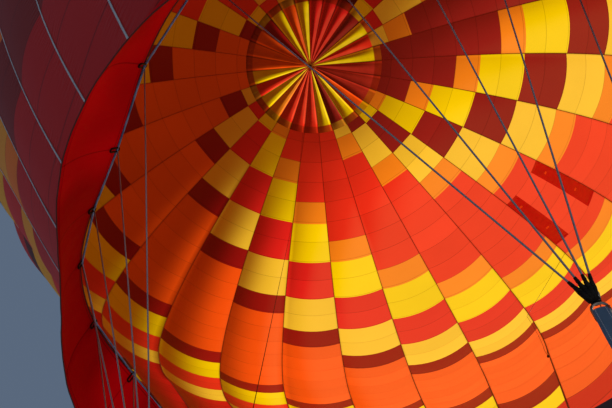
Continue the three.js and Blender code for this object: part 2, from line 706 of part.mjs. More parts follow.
// Fuel cylinders stand in the corners of the pilot's compartment.
SIDES.forEach(([sideX, sideY], index) => {
  const { radius, foot, collar } = TANK;
  const top = WALL_FOOT + TANK.height;
  const tank = lathe([
    [0, WALL_FOOT],
    [foot, WALL_FOOT],
    [radius, WALL_FOOT + TANK.dish],
    [radius, top - TANK.neck],
    [collar, top - TANK.dish],
    [collar, top],
    [0, top],
  ], 16);
  const at = rigPoint(TANK, sideX, sideY, 0);
  const placed = toSolid(tank).translate(at.toArray());
  addPart(`fuel_cylinder_${index + 1}`, toGeometry(placed), 'aluminium', 0.4, 0.7);
});

export default balloon;
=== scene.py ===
"""A large passenger hot air balloon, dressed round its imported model. Metres, +Z up, +X along the basket."""
import math

import bmesh
import bpy
from mathutils import Matrix, Vector


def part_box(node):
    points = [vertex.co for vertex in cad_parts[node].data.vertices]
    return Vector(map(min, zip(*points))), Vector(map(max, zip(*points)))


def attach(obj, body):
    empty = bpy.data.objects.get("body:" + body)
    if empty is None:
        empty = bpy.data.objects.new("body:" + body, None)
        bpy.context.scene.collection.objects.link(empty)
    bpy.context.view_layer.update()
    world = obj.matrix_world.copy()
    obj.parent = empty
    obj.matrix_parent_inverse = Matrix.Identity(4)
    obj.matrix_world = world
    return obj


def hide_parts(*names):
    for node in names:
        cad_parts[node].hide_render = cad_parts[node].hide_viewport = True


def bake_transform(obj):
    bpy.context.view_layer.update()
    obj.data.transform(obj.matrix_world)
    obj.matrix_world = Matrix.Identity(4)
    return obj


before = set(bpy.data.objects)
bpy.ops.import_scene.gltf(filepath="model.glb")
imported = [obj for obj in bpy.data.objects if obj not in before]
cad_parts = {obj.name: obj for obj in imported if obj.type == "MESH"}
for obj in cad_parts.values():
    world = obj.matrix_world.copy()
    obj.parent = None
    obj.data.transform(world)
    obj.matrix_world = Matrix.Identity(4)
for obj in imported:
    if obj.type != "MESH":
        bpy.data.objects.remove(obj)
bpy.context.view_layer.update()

# Envelope. Twenty-eight gores of coated ripstop, each cut in equal rows and sewn to the next along a load
# tape, and billowed out between its tapes by the hot air. Two gores make one piece. The checks and long
# bands step down two rows from each gore to the next, so they wind round the balloon.
UP = Vector((0, 0, 1))
GORES = 28
GORE_ANGLE = 2 * math.pi / GORES
SEAM_AT_X = 4.5
ROW = 1.3
EYE_LEVEL = 0.2
AIR_CENTRE = 23.0
CLOTH_THICK = 0.010
CROWN_ROW = 2.32
VENT_ROW = 5.3
LAP_ROW = 5.55
MOUTH_ROW = 34.24
HEM_ZONE_ROW = 31
LAG_SEAM = 25
LAG_ROWS = (24, 33)
LAG_REACH = (3, 7)
BULGE = 0.09
BULGE_FULL_ROW = VENT_ROW + 8
BULGE_FADES_ROW = 30
BULGE_AT_MOUTH = 0.25
# Columns: row, radius in rows, height in rows above eye level.
MERIDIAN = [
    (CROWN_ROW, 0, 27.02),
    (3.3, 0.98, 27.0),
    (5.3, 2.97, 26.81),
    (7, 4.63, 26.42),
    (9, 6.45, 25.62),
    (11, 8.04, 24.41),
    (12.5, 8.98, 23.25),
    (14, 9.67, 21.92),
    (16, 10.12, 19.98),
    (18, 10.08, 17.98),
    (20, 9.65, 16.03),
    (22, 8.9, 14.18),
    (25, 7.46, 11.55),
    (28, 5.82, 9.04),
    (31, 4.18, 6.52),
    (MOUTH_ROW, 2.408, 3.81),
]
CLOTH_COLOURS = {
    "yellow": "FFD600",
    "warm yellow": "FFCA30",
    "amber": "FF8A18",
    "orange": "FF560E",
    "red": "F23018",
    "crimson": "E6221A",
    "hem red": "D01410",
    "dark red": "9C120E",
    "maroon": "961E16",
    "dark maroon": "5A0A08",
    "vent maroon": "C4301E",
}
# Columns: first row of the band, colour. The list runs round in 56 rows.
BANDS = [
    (-19, "dark maroon"),
    (-18, "yellow"),
    (-16, "crimson"),
    (-14, "warm yellow"),
    (-12, "amber"),
    (-11, "maroon"),
    (-5, "amber"),
    (-4, "yellow"),
    (-2, "maroon"),
    (0, "warm yellow"),
    (2, "amber"),
    (3, "red"),
    (9, "amber"),
    (10, "yellow"),
    (12, "crimson"),
    (14, "warm yellow"),
    (16, "dark red"),
    (17, "orange"),
    (23, "dark red"),
    (24, "yellow"),
    (26, "red"),
    (28, "warm yellow"),
    (30, "hem red"),
]
BAND_STEP = 2
BAND_CYCLE = 56
SEAM_LINE = 0.014
# Painted sunlight: the cloth glows by how each corner faces the sun, deeper in colour on the shaded side and
# paler where the sun is full.
SUN_SIDE = Vector((-0.25, -0.97, 0.0))
SUN_REACH = (-0.20, 0.75)
SHADED_GLOW = 0.10
SHADE_DEEPENING = 0.6
SUN_PALING = (0.08, 0.045, 0.016)
BLACK = (0, 0, 0, 1)
CREASE = 0.9
PULLED_SEAM = 8.5
PULLED_FROM_ROW = 26
PULL = {"gores": 0.36, "reach": (2.7, 5.7)}
SLACK = {"gores": 0.38, "seam": 9.8, "spread": 1.6}
MOUTH_WAVE = {"height": 0.11, "crest": 7.15, "length": 4.25, "reach": (3.2, 6.0)}
MOUTH_BUMP = {"height": 0.10, "seam": 12, "spread": 0.9}
ACROSS = 10
STEPS_PER_ROW = 3


def smoothstep(value, low, high):
    share = min(max((value - low) / (high - low), 0), 1)
    return share * share * (3 - 2 * share)


def meridian(row):
    """Radius and height of the load tapes' line, on a smooth curve through its stations."""
    last = len(MERIDIAN) - 2
    index = max(i for i in range(last + 1) if MERIDIAN[i][0] <= row)
    before, low, high, after = (MERIDIAN[min(max(index + i, 0), last + 1)] for i in (-1, 0, 1, 2))
    span = high[0] - low[0]
    t = (row - low[0]) / span
    place = []
    for axis in (1, 2):
        leaves = (high[axis] - before[axis]) / (high[0] - before[0]) * span
        arrives = (after[axis] - low[axis]) / (after[0] - low[0]) * span
        ends = (2 * t**3 - 3 * t**2 + 1) * low[axis] + (3 * t**2 - 2 * t**3) * high[axis]
        place.append(ROW * (ends + (t**3 - 2 * t**2 + t) * leaves + (t**3 - t**2) * arrives))
    return Vector((place[0], place[1] + EYE_LEVEL - AIR_CENTRE))


def meridian_normal(row):
    """The outward normal of the tapes' line, as radius and height."""
    near = 0.05
    along = meridian(min(row + near, MOUTH_ROW)) - meridian(row - near)
    return Vector((-along.y, along.x)).normalized()


def seam_azimuth(seam):
    return (seam - SEAM_AT_X) * GORE_ANGLE


def turned(radius, azimuth, height):
    return Vector((radius * math.cos(azimuth), radius * math.sin(azimuth), height))


def near_seam(gores, seam, reach):
    """1 close to a seam and 0 far from it. Reach is where the fall starts and ends, in gores."""
    return 1 - smoothstep(abs(math.remainder(gores - seam, GORES)), *reach)


def swell_at(gores, seam, spread):
    """A soft hump round one seam, 1 at its top."""
    return math.exp(-(((gores - seam) / spread) ** 2))


def pulled(gores, row):
    """How far the wires have drawn the cloth round, in gores, and out, in metres: one side of the mouth."""
    fade = smoothstep(row, PULLED_FROM_ROW, MOUTH_ROW)
    pull = PULL["gores"] * near_seam(gores, PULLED_SEAM, PULL["reach"])
    slack = SLACK["gores"] * swell_at(gores, SLACK["seam"], SLACK["spread"])
    shift = fade * (pull + slack)
    spot = gores - shift
    wave = MOUTH_WAVE["height"] * math.cos(2 * math.pi * (spot - MOUTH_WAVE["crest"]) / MOUTH_WAVE["length"])
    wave *= near_seam(gores, PULLED_SEAM, MOUTH_WAVE["reach"])
    bump = MOUTH_BUMP["height"] * swell_at(spot, MOUTH_BUMP["seam"], MOUTH_BUMP["spread"])
    return shift, fade**3 * (wave + bump)


def cloth_point(gores, row, inset=0.0):
    """A point on the cloth: gores counts round from seam 0, and inset is its depth below the outer face."""
    gore = math.floor(gores + 1e-6)
    across = gores - gore
    radius, height = meridian(row)
    normal = meridian_normal(row)
    half = GORE_ANGLE / 2
    turn = (across - 0.5) * GORE_ANGLE
    fades = (1 - BULGE_AT_MOUTH) * smoothstep(row, BULGE_FADES_ROW, MOUTH_ROW)
    share = BULGE * smoothstep(row, VENT_ROW, BULGE_FULL_ROW) * (1 - fades)
    swell = 2 * radius * math.sin(half) * share * (1 - (2 * across - 1) ** 2)
    outward = radius * math.cos(half) / math.cos(turn) + (swell - inset) * normal.x
    shift, pushed = pulled(gores, row)
    return turned(outward + pushed, seam_azimuth(gores - shift), height + (swell - inset) * normal.y)


def given(thing, **settings):
    """The same thing, with its settings made."""
    for name, value in settings.items():
        setattr(thing, name, value)
    return thing


def linked(name, data):
    """A new object of the scene, made from its data."""
    made = bpy.data.objects.new(name, data)
    bpy.context.scene.collection.objects.link(made)
    return made


def placed(name, mesh, finish):
    """Makes a mesh into an object of the scene, with its finish."""
    data = bpy.data.meshes.new(name)
    mesh.to_mesh(data)
    mesh.free()
    for face in data.polygons:
        face.use_smooth = True
    data.materials.append(finish)
    return linked(name, data)


def new_piece(name, mesh, finish, body="balloon", slot=None, replaces=()):
    """Makes a mesh into a piece of the balloon: its finish, its body and what it stands for. The slot is not
    used.
    """
    piece = placed(name, mesh, finish)
    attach(piece, body)
    if replaces:
        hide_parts(*replaces)
    return piece


def cloth_grid(columns, rows, place, mesh=None):
    """A grid of cloth: place takes the share across and up, and gives a point and its spot on the cut."""
    mesh = mesh or bmesh.new()
    chart = mesh.loops.layers.uv.get("cut") or mesh.loops.layers.uv.new("cut")
    made = bmesh.ops.create_grid(mesh, x_segments=columns, y_segments=rows, size=0.5)["verts"]
    spots = {}
    for vert in made:
        vert.co, spots[vert] = place(vert.co.x + 0.5, vert.co.y + 0.5)
    for face in {face for vert in made for face in vert.link_faces}:
        for corner in face.loops:
            corner[chart].uv = spots[corner.vert]
    return mesh


def crease(mesh):
    """Marks the seams between gores, and keeps each corner's chart inside its own gore."""
    chart = mesh.loops.layers.uv["cut"]
    for edge in mesh.edges:
        corner = edge.link_loops[0]
        ends = [corner[chart].uv.x, corner.link_loop_next[chart].uv.x]
        edge.smooth = not all(abs(end - round(end)) < 1e-4 for end in ends)
    for face in mesh.faces:
        gore = math.floor(sum(corner[chart].uv.x for corner in face.loops) / len(face.loops))
        for corner in face.loops:
            corner[chart].uv.x = min(max(corner[chart].uv.x, gore + 1e-3), gore + 0.999)


def sunlit(mesh, towards=SUN_SIDE):
    """Stores at every corner how much sun comes through the cloth there, from how it faces the sun."""
    mesh.normal_update()
    layer = mesh.loops.layers.float.new("sun")
    for face in mesh.faces:
        for corner in face.loops:
            around = [other.normal for other in corner.vert.link_faces]
            near = [normal for normal in around if normal.dot(face.normal) > CREASE]
            facing = sum(near, Vector()).normalized().dot(towards)
            corner[layer] = smoothstep(facing, *SUN_REACH)


def thicken(piece, thick, offset=-1):
    given(piece.modifiers.new("wall", "SOLIDIFY"), thickness=thick, offset=offset)


def paint(name):
    """A colour from its name or its six screen digits, as the shader takes it."""
    code = CLOTH_COLOURS.get(name, name)
    shares = [int(code[i : i + 2], 16) / 255 for i in (0, 2, 4)]
    return [s / 12.92 if s <= 0.04045 else ((s + 0.055) / 1.055) ** 2.4 for s in shares] + [1]


def operation(kind, swapped=False):
    """A method that works on a socket through one maths node."""

    def method(self, *others):
        return self.math(kind, *((*others, self) if swapped else (self, *others)))

    return method


class Socket:
    """One output of a shader node, so that sums on it are written as sums."""

    def __init__(self, tree, end=None):
        self.tree = tree
        self.end = end

    def node(self, kind, feeds=None, out=0, **settings):
        """Any other node: its settings first, then the values or links of its sockets."""
        made = given(self.tree.nodes.new(kind), **settings)
        for key, value in (feeds or {}).items():
            if isinstance(value, Socket):
                self.tree.links.new(value.end, made.inputs[key])
            else:
                made.inputs[key].default_value = value
        return Socket(self.tree, made.outputs[out])

    def math(self, operation, *values):
        return self.node("ShaderNodeMath", dict(enumerate(values)), operation=operation)

    __add__ = operation("ADD")
    __sub__ = operation("SUBTRACT")
    __mul__ = operation("MULTIPLY")
    __truediv__ = operation("DIVIDE")
    __mod__ = operation("FLOORED_MODULO")
    __pow__ = operation("POWER")
    __gt__ = operation("GREATER_THAN")
    __lt__ = operation("LESS_THAN")
    __abs__ = operation("ABSOLUTE")
    __radd__ = operation("ADD", swapped=True)
    __rsub__ = operation("SUBTRACT", swapped=True)
    __rmul__ = operation("MULTIPLY", swapped=True)
    floor = operation("FLOOR")
    sine = operation("SINE")

    def eased(self, low, high):
        """0 below low, 1 above high, and smooth between."""
        feeds = {"Value": self, "From Min": low, "From Max": high}
        return self.node("ShaderNodeMapRange", feeds, interpolation_type="SMOOTHSTEP")

    def parts(self):
        split = self.node("ShaderNodeSeparateXYZ", {0: self}).end.node
        return [Socket(self.tree, end) for end in split.outputs]

    def ramp(self, stops, interpolation="LINEAR"):
        """A colour that follows this value through its stops. Columns: place, colour."""
        made = self.node("ShaderNodeValToRGB", {0: self})
        ramp = made.end.node.color_ramp
        ramp.interpolation = interpolation
        ramp.elements.remove(ramp.elements[1])
        ramp.elements[0].position = stops[0][0]
        ramp.elements[0].color = paint(stops[0][1])
        for place, name in stops[1:]:
            ramp.elements.new(place).color = paint(name)
        return made

    def mixed(self, share, other, blend="MIX"):
        """This colour with another over it, by a share. The other may be given by name."""
        feeds = {0: share, 6: self, 7: paint(other) if isinstance(other, str) else other}
        return self.node("ShaderNodeMix", feeds, out=2, data_type="RGBA", blend_type=blend)

    def noise(self, scale, detail=2.0):
        return self.node("ShaderNodeTexNoise", {"Vector": self, "Scale": scale, "Detail": detail})

    def stretched(self, *scale):
        return self.node("ShaderNodeVectorMath", {0: self, 1: scale}, operation="MULTIPLY")


class Finish:
    """One material: its shader's own numbers, what feeds the shader, and the places it reads."""

    def __init__(self, name, **numbers):
        self.material = bpy.data.materials.new(name)
        self.material.use_nodes = True
        self.tree = self.material.node_tree
        self.shader = self.tree.nodes["Principled BSDF"]
        self.start = Socket(self.tree)
        for key, value in numbers.items():
            self.shader.inputs[key.replace("_", " ").title().replace("Ior", "IOR")].default_value = value

    def chart(self):
        return self.start.node("ShaderNodeUVMap", uv_map="cut")

    def place(self):
        return self.start.node("ShaderNodeTexCoord", out="Object")

    def plain(self, code):
        """One even colour."""
        shade = self.start.node("ShaderNodeRGB")
        shade.end.default_value = paint(code)
        return shade

    def uneven(self, code, darkest, spread, pattern):
        """A colour that a pattern makes darker and lighter."""
        return self.plain(code).mixed(1.0, darkest + spread * pattern, "MULTIPLY")

    def feed(self, key, value):
        if isinstance(value, Socket):
            self.tree.links.new(value.end, self.shader.inputs[key])
        else:
            self.shader.inputs[key].default_value = value

    def finished(self, colour, height, strength=1.0, glow=None):
        """The material, with its colour, the height of its relief in metres and the light it gives."""
        self.feed("Base Color", colour)
        if glow:
            self.feed("Emission Color", glow)
        feeds = {"Height": height, "Distance": 1.0, "Strength": strength}
        self.feed("Normal", self.start.node("ShaderNodeBump", feeds))
        return self.material


def band_colour(gore, row):
    band = (row + BAND_STEP * gore - BANDS[0][0]) % BAND_CYCLE / BAND_CYCLE
    return band.ramp([((first - BANDS[0][0]) / BAND_CYCLE, name) for first, name in BANDS], "CONSTANT")


def light_through(cloth, colour):
    """Light that comes through cloth: deeper in colour in the shade, and paler where the sun is full."""
    sun = cloth.start.node("ShaderNodeAttribute", out=2, attribute_name="sun")
    yellow = colour.parts()[1].eased(0.1, 0.6)
    deep = colour.mixed(SHADE_DEEPENING * yellow, "orange").mixed(1 - SHADED_GLOW, BLACK)
    pale = colour.parts()[0] * sun.eased(0.75, 1.0)
    pale = pale.node("ShaderNodeCombineXYZ", {i: pale * share for i, share in enumerate(SUN_PALING)})
    return deep.mixed(sun.eased(0.0, 0.9), colour.mixed(1.0, pale, "ADD"))


def envelope_finish():
    cloth = Finish("envelope_cloth", roughness=0.6, specular_ior_level=0.2, emission_strength=0.84)
    gores, row, _ = cloth.chart().parts()
    gore = gores.floor()
    colour = band_colour(gore, row)
    colour = colour.mixed(row > HEM_ZONE_ROW, "hem red")
    # Painted shade: the cloth is darkened where the vent lies under it.
    colour = colour.mixed((row < LAP_ROW) * 0.6, "3A0606")
    panel = row.node("ShaderNodeCombineXYZ", {0: gore, 1: row.floor()})
    worn = panel.node("ShaderNodeTexWhiteNoise", {"Vector": panel}, noise_dimensions="2D", out=0)
    edge = abs(gores % 1 - 0.5) * 2
    row_seam = abs((row + 0.5) % 1 - 0.5) < SEAM_LINE
    shade = 0.84 + 0.12 * worn + 0.12 * cloth.place().noise(0.5, 4.0)
    shade = shade * (1 - row_seam * (0.30 + 0.2 * row.eased(20, 28)))
    # Darker along each gore seam: partly the seam's own line, partly painted shade in the crease between the
    # billowed gores.
    shade = shade * (1 - 0.25 * edge.eased(0.93, 1.0))
    colour = colour.mixed(1.0, shade, "MULTIPLY")
    gathers = cloth.chart().stretched(1.6, 9.0, 1.0).noise(2.2, 3.0)
    weave = cloth.place().noise(420.0, 1.0)
    height = gathers * edge ** 3 * 0.05 + weave * 0.0006 - row_seam * 0.004
    # Painted light: the glow stands in for sunlight through the cloth, over a darkened base colour.
    return cloth.finished(colour.mixed(0.7, BLACK), height, 0.8, light_through(cloth, colour))


ENVELOPE_CLOTH = envelope_finish()
for number in range(1, GORES // 2 + 1):

    def pair_place(across, up, number=number):
        gores = 2 * (number - 1 + across)
        row = MOUTH_ROW - up * (MOUTH_ROW - VENT_ROW)
        lag = near_seam(gores, LAG_SEAM, LAG_REACH) * smoothstep(row, *LAG_ROWS)
        return cloth_point(gores, row), Vector((gores, row - lag))

    mesh = cloth_grid(2 * ACROSS, round((MOUTH_ROW - VENT_ROW) * STEPS_PER_ROW), pair_place)
    crease(mesh)
    sunlit(mesh)
    gores = new_piece(
        f"envelope_cloth_{number}", mesh, ENVELOPE_CLOTH,
        slot="envelope_fabric", replaces=[f"envelope_gores_{number}"],
    )
    thicken(gores, CLOTH_THICK)

# Load tapes. Flat woven webbing sewn down every seam from the vent's edge to the mouth. They carry the
# basket, and the cloth only holds the air between them.
TAPE_WIDTH = 0.028
TAPE_THICK = 0.024
TAPE_DEPTH = 0.003
COVER_WIDTH = 0.024
COVER_THICK = 0.006
COVER_DEPTH = -0.010
WEAVE_PITCH = 0.006


def webbing_finish(name, code, stitch_code):
    webbing = Finish(name, roughness=0.8, sheen_weight=0.2)
    across, along, _ = webbing.chart().parts()
    ribs = abs(along / WEAVE_PITCH % 1 - 0.5)
    stitch = (abs(abs(across - 0.5) - 0.36) < 0.035) * (along / 0.012 % 1 < 0.6)
    colour = webbing.uneven(code, 0.75, 0.5, webbing.place().noise(2.5, 4.0))
    return webbing.finished(colour.mixed(stitch * 0.5, stitch_code), ribs * 0.0008 + stitch * 0.0006)


TAPE_WEBBING = webbing_finish("tape_webbing", "7A1608", "A03020")
COVER_WEBBING = webbing_finish("cover_webbing", "A3B4C6", "C8D2DC")


def tape_place(seam, first_row, last_row, depth, width):
    def place(across, up):
        row = last_row - up * (last_row - first_row)
        point = cloth_point(seam, row, depth)
        side = Vector((-point.y, point.x, 0)).normalized()
        return point + side * (across - 0.5) * width, Vector((across, row * ROW))

    return place


def seam_tapes(name, finish, grid, rows, depth, width, thick):
    """The same length of tape on every seam, as one piece."""
    mesh = bmesh.new()
    for seam in range(GORES):
        cloth_grid(*grid, tape_place(seam, *rows, depth, width), mesh=mesh)
    thicken(new_piece(name, mesh, finish, slot="tape_webbing"), thick, offset=0)


FULL_ROWS = (VENT_ROW, MOUTH_ROW)
FULL_GRID = (1, round((MOUTH_ROW - VENT_ROW) * STEPS_PER_ROW))
seam_tapes("load_tapes", TAPE_WEBBING, FULL_GRID, FULL_ROWS, TAPE_DEPTH, TAPE_WIDTH, TAPE_THICK)
seam_tapes("tape_covers", COVER_WEBBING, FULL_GRID, FULL_ROWS, COVER_DEPTH, COVER_WIDTH, COVER_THICK)


# Crown. The load tapes cross the vent's opening as far as a band sewn round the crown ring, which is one
# forged ring of aluminium.
def plain_metal(name, code, roughness, scale=60.0):
    metal = Finish(name, metallic=1.0)
    grain = metal.place().stretched(1, 1, 0.15).noise(scale, 4.0)
    metal.feed("Roughness", roughness + 0.18 * grain)
    height = grain * 0.0004
    return metal.finished(metal.uneven(code, 0.72, 0.4, metal.place().noise(scale / 12, 3.0)), height)


def crown_webbing():
    webbing = Finish("crown_webbing", roughness=0.85)
    height = webbing.place().noise(300.0, 1.0) * 0.0006
    return webbing.finished(webbing.uneven("5A1810", 0.6, 0.8, webbing.place().noise(1.5, 3.0)), height)


def dress(finish, *nodes):
    """Gives nodes that keep their own shape their finish."""
    for node in nodes:
        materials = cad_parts[node].data.materials
        materials.clear()
        materials.append(finish)


dress(crown_webbing(), "crown_tapes")
dress(plain_metal("forged_aluminium", "B9BEC4", 0.3), "crown_ring")

# Parachute vent. A disc of the same twenty-eight gores pressed up under the crown tapes by the hot air.
# Each gore billows up between its seams, which the lines to the knot in the middle hold down.
VENT_DEPTH = 0.0106
VENT_PLEAT = {"depth": 0.12, "round": 1.7, "edge": 0.97, "rise": 0.7}
VENT_RINGS = 22
VENT_CENTRE = Vector((0.18, 0.13, 0))
VENT_STEPS = 8
# Painted sunlight: the direction from which the vent's glow is lit.
VENT_SUN = Vector((-1.2, -1.6, 0.10))
# Columns: first gore, colour.
VENT_GORES = [
    (0, "red"),
    (3, "amber"),
    (4, "yellow"),
    (5, "red"),
    (6, "yellow"),
    (7, "orange"),
    (10, "dark red"),
    (11, "yellow"),
    (12, "orange"),
    (13, "yellow"),
    (14, "crimson"),
    (17, "maroon"),
    (18, "yellow"),
    (19, "red"),
    (20, "yellow"),
    (21, "vent maroon"),
    (24, "orange"),
    (25, "yellow"),
    (26, "maroon"),
    (27, "yellow"),
]


def vent_place(around, out):
    gores = around * GORES
    across = gores % 1
    row = CROWN_ROW + out * (LAP_ROW - CROWN_ROW)
    radius, height = meridian(row)
    billow = 1 - abs(2 * across - 1) ** VENT_PLEAT["round"]
    pleat = VENT_PLEAT["depth"] * math.sin(math.pi * min(out, VENT_PLEAT["edge"])) ** VENT_PLEAT["rise"]
    drop = VENT_DEPTH + pleat * (1 - billow)
    point = turned(radius, seam_azimuth(gores), height - drop) + (1 - out) * VENT_CENTRE
    return point, Vector((gores, row))


def vent_finish():
    cloth = Finish("vent_cloth", roughness=0.6, specular_ior_level=0.2, emission_strength=0.64)
    gores, row, _ = cloth.chart().parts()
    colour = (gores / GORES).ramp([(first / GORES, name) for first, name in VENT_GORES], "CONSTANT")
    edge = abs(gores % 1 - 0.5) * 2
    mottle = cloth.place().noise(1.4, 3.0)
    # Painted highlight: a thin bright strip on one side of each gore, near its seam.
    ridge_highlight = (gores % 1).eased(0.02, 0.10) * (1 - (gores % 1).eased(0.10, 0.24))
    # Painted light: where the vent's edge overlaps the envelope, it takes the envelope's band colours with a
    # brown tint and is a little darker, as sunlight comes through both layers.
    backlit_lap = row.eased(VENT_ROW - 0.10, VENT_ROW - 0.04)
    # Darker towards each seam: painted shade in the creases between the billowed gores; the mottle is the
    # cloth's own.
    shade = (0.6 + 0.5 * mottle) * (1 - 0.6 * edge.eased(0.86, 1.0))
    shade = shade * (1 + 0.9 * ridge_highlight) * (1 - 0.1 * backlit_lap)
    under = band_colour(gores.floor(), row)
    colour = colour.mixed(backlit_lap * 0.85, under).mixed(backlit_lap * 0.55, "A82808")
    colour = colour.mixed(1.0, shade, "MULTIPLY")
    creases = cloth.chart().stretched(7.0, 0.9, 1.0).noise(2.0, 3.0)
    height = creases * 0.05 + cloth.place().noise(420.0, 1.0) * 0.0006
    return cloth.finished(colour.mixed(0.75, BLACK), height, 0.7, light_through(cloth, colour))


vent_mesh = cloth_grid(GORES * VENT_STEPS, VENT_RINGS, vent_place)
bmesh.ops.remove_doubles(vent_mesh, verts=vent_mesh.verts, dist=1e-4)
bmesh.ops.recalc_face_normals(vent_mesh, faces=vent_mesh.faces)
if sum(face.normal.z for face in vent_mesh.faces) < 0:
    bmesh.ops.reverse_faces(vent_mesh, faces=vent_mesh.faces)
sunlit(vent_mesh, VENT_SUN)
vent = new_piece("vent_cloth", vent_mesh, vent_finish(), "vent", "vent_fabric", ["parachute_vent"])
thicken(vent, CLOTH_THICK / 2)

# Vent line. A round braided cord from the knot under the vent, over a pulley on one tape, to the load
# frame: the pilot pulls it to draw the vent down.
CORD_RADIUS = 0.006
KNOT_DROP = 0.10
KNOT_RADIUS = 0.05
SPOKE = {"reach": 0.30, "rise": 0.06, "radius": 0.006}
PATCH = {"low": 0.38, "high": 0.40, "thick": 0.012, "rise": 0.075}
PULLEY = {"half": 0.012, "radius": 0.03, "shank": 0.008, "depth": 0.16, "foot": 0.012}


def cord_finish(name, code, scale=180.0, depth=0.0008, **numbers):
    cord = Finish(name, **{"roughness": 0.7, **numbers})
    braid = cord.place().noise(scale, 2.0)
    return cord.finished(cord.uneven(code, 0.6, 0.8, braid), braid * depth)


DARK_CORD = cord_finish("dark_cord", "2A0D0C")


def lines_piece(name, lines, radius, finish, body="balloon", slot=None, closed=False):
    """Cords or bars along lists of points, with round sections, as one mesh."""
    curve = given(
        bpy.data.curves.new(name, "CURVE"),
        dimensions="3D", bevel_depth=radius, bevel_resolution=2, use_fill_caps=True,
    )
    for points in lines:
        spline = curve.splines.new("POLY")
        spline.points.add(len(points) - 1)
        spline.use_cyclic_u = closed
        for spot, point in zip(spline.points, points):
            spot.co = (*point, 1)
    drawn = bpy.data.objects.new(name, curve)
    mesh = bmesh.new()
    mesh.from_mesh(bpy.data.meshes.new_from_object(drawn))
    bpy.data.objects.remove(drawn)
    return new_piece(name, mesh, finish, body, slot)


def bar(mesh, start, end, radius, tip=None, sides=12):
    """A round bar between two points, tapering to tip where one is given."""
    along = end - start
    place = Matrix.Translation((start + end) / 2) @ along.to_track_quat("Z", "Y").to_matrix().to_4x4()
    bmesh.ops.create_cone(
        mesh, cap_ends=True, segments=sides, radius1=radius,
        radius2=radius if tip is None else tip, depth=along.length, matrix=place,
    )


def ball(mesh, centre, radius, subdivisions):
    place = Matrix.Translation(centre)
    bmesh.ops.create_icosphere(mesh, subdivisions=subdivisions, radius=radius, matrix=place)


RIG_X = 0.55
KNOT = VENT_CENTRE + UP * (meridian(CROWN_ROW).y - KNOT_DROP)
# Columns: seam, row.
PULLEY_PLACE = (1, 9.7)
PULLEY_AT = cloth_point(*PULLEY_PLACE, PULLEY["depth"])
LINE_END = Vector((RIG_X + 1.71, -0.10, -20.93))
line_points = [KNOT.lerp(PULLEY_AT, i / 8) for i in range(8)]
line_points += [PULLEY_AT.lerp(LINE_END, i / 10) for i in range(11)]
vent_line = lines_piece("vent_line", [line_points], CORD_RADIUS, DARK_CORD)
vent_line.parent = None
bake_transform(vent_line)
knot_mesh = bmesh.new()
ball(knot_mesh, KNOT, KNOT_RADIUS, 3)
for seam in range(GORES):
    spoke_end = KNOT + turned(SPOKE["reach"], seam_azimuth(seam), SPOKE["rise"])
    bar(knot_mesh, KNOT, spoke_end, SPOKE["radius"], sides=6)
new_piece("vent_knot", knot_mesh, DARK_CORD, "vent")
patch_mesh = bmesh.new()
bmesh.ops.create_cone(
    patch_mesh, cap_ends=True, segments=GORES, radius1=PATCH["low"], radius2=PATCH["high"],
    depth=PATCH["thick"], matrix=Matrix.Translation(KNOT + UP * PATCH["rise"]),
)
# Painted light: the patch glows with its own colour, as sunlight through the cloth.
patch_finish = Finish("vent_patch", roughness=0.6, emission_strength=0.22)
patch_colour_and_glow = patch_finish.place().noise(6.0, 4.0).ramp([(0.3, "8A3A08"), (0.7, "D88420")])
patch_finish.feed("Base Color", patch_colour_and_glow)
patch_finish.feed("Emission Color", patch_colour_and_glow)
new_piece("vent_patch", patch_mesh, patch_finish.material, "vent", "vent_fabric")
pulley_mesh = bmesh.new()
half_wheel = Vector((PULLEY["half"], 0, 0))
bar(pulley_mesh, PULLEY_AT + half_wheel, PULLEY_AT - half_wheel, PULLEY["radius"], sides=24)
bar(pulley_mesh, PULLEY_AT, cloth_point(*PULLEY_PLACE, PULLEY["foot"]), PULLEY["shank"])
new_piece("vent_pulley", pulley_mesh, plain_metal("pulley_steel", "6A6E74", 0.35))

# Turning vent. Two long slots beside one gore's tapes, each closed by a flap of dark red cloth laid
# against the inside, with a line down each tape to a knot. Opening one side turns the balloon.
TURN_GORE = 23
TURN_ROWS = (14, 18)
FLAP_SHARE = 0.25
FLAP_THICK = 0.004
FLAP_GAP = 0.012
FLAP_DEPTH = CLOTH_THICK + 0.006
KNOT_SEAM = 25
TURN_KNOT_RADIUS = 0.032
TURN_KNOT = cloth_point(KNOT_SEAM, 28.5, 0.10)
# One list for each line. Columns: place in gores, first row, last row, depth below the cloth's face.
TURN_RUNS = [
    [(24, 14, 19, 0.03), (KNOT_SEAM + 0.04, 21, 27, 0.05)],
    [(KNOT_SEAM, 16, 27, 0.035)],
]


def flap_finish():
    cloth = Finish("flap_cloth", roughness=0.55, emission_strength=0.7)
    across, row, _ = cloth.chart().parts()
    mark = (abs(row % 1 - 0.75 + across * 0.1) < 0.05) * (abs(across * 4 % 1 - 0.5) < 0.11) * (row % 2 < 1)
    colour = cloth.plain("B00606").mixed(mark * 0.4, "orange")
    colour = colour.mixed(1.0, 0.75 + 0.4 * cloth.place().noise(3.0, 3.0), "MULTIPLY")
    height = cloth.chart().stretched(3, 12, 1).noise(2.0, 2.0) * 0.03
    # Painted light: the flap glows with its own colour, as sunlight through the cloth.
    return cloth.finished(colour, height, 0.6, colour)


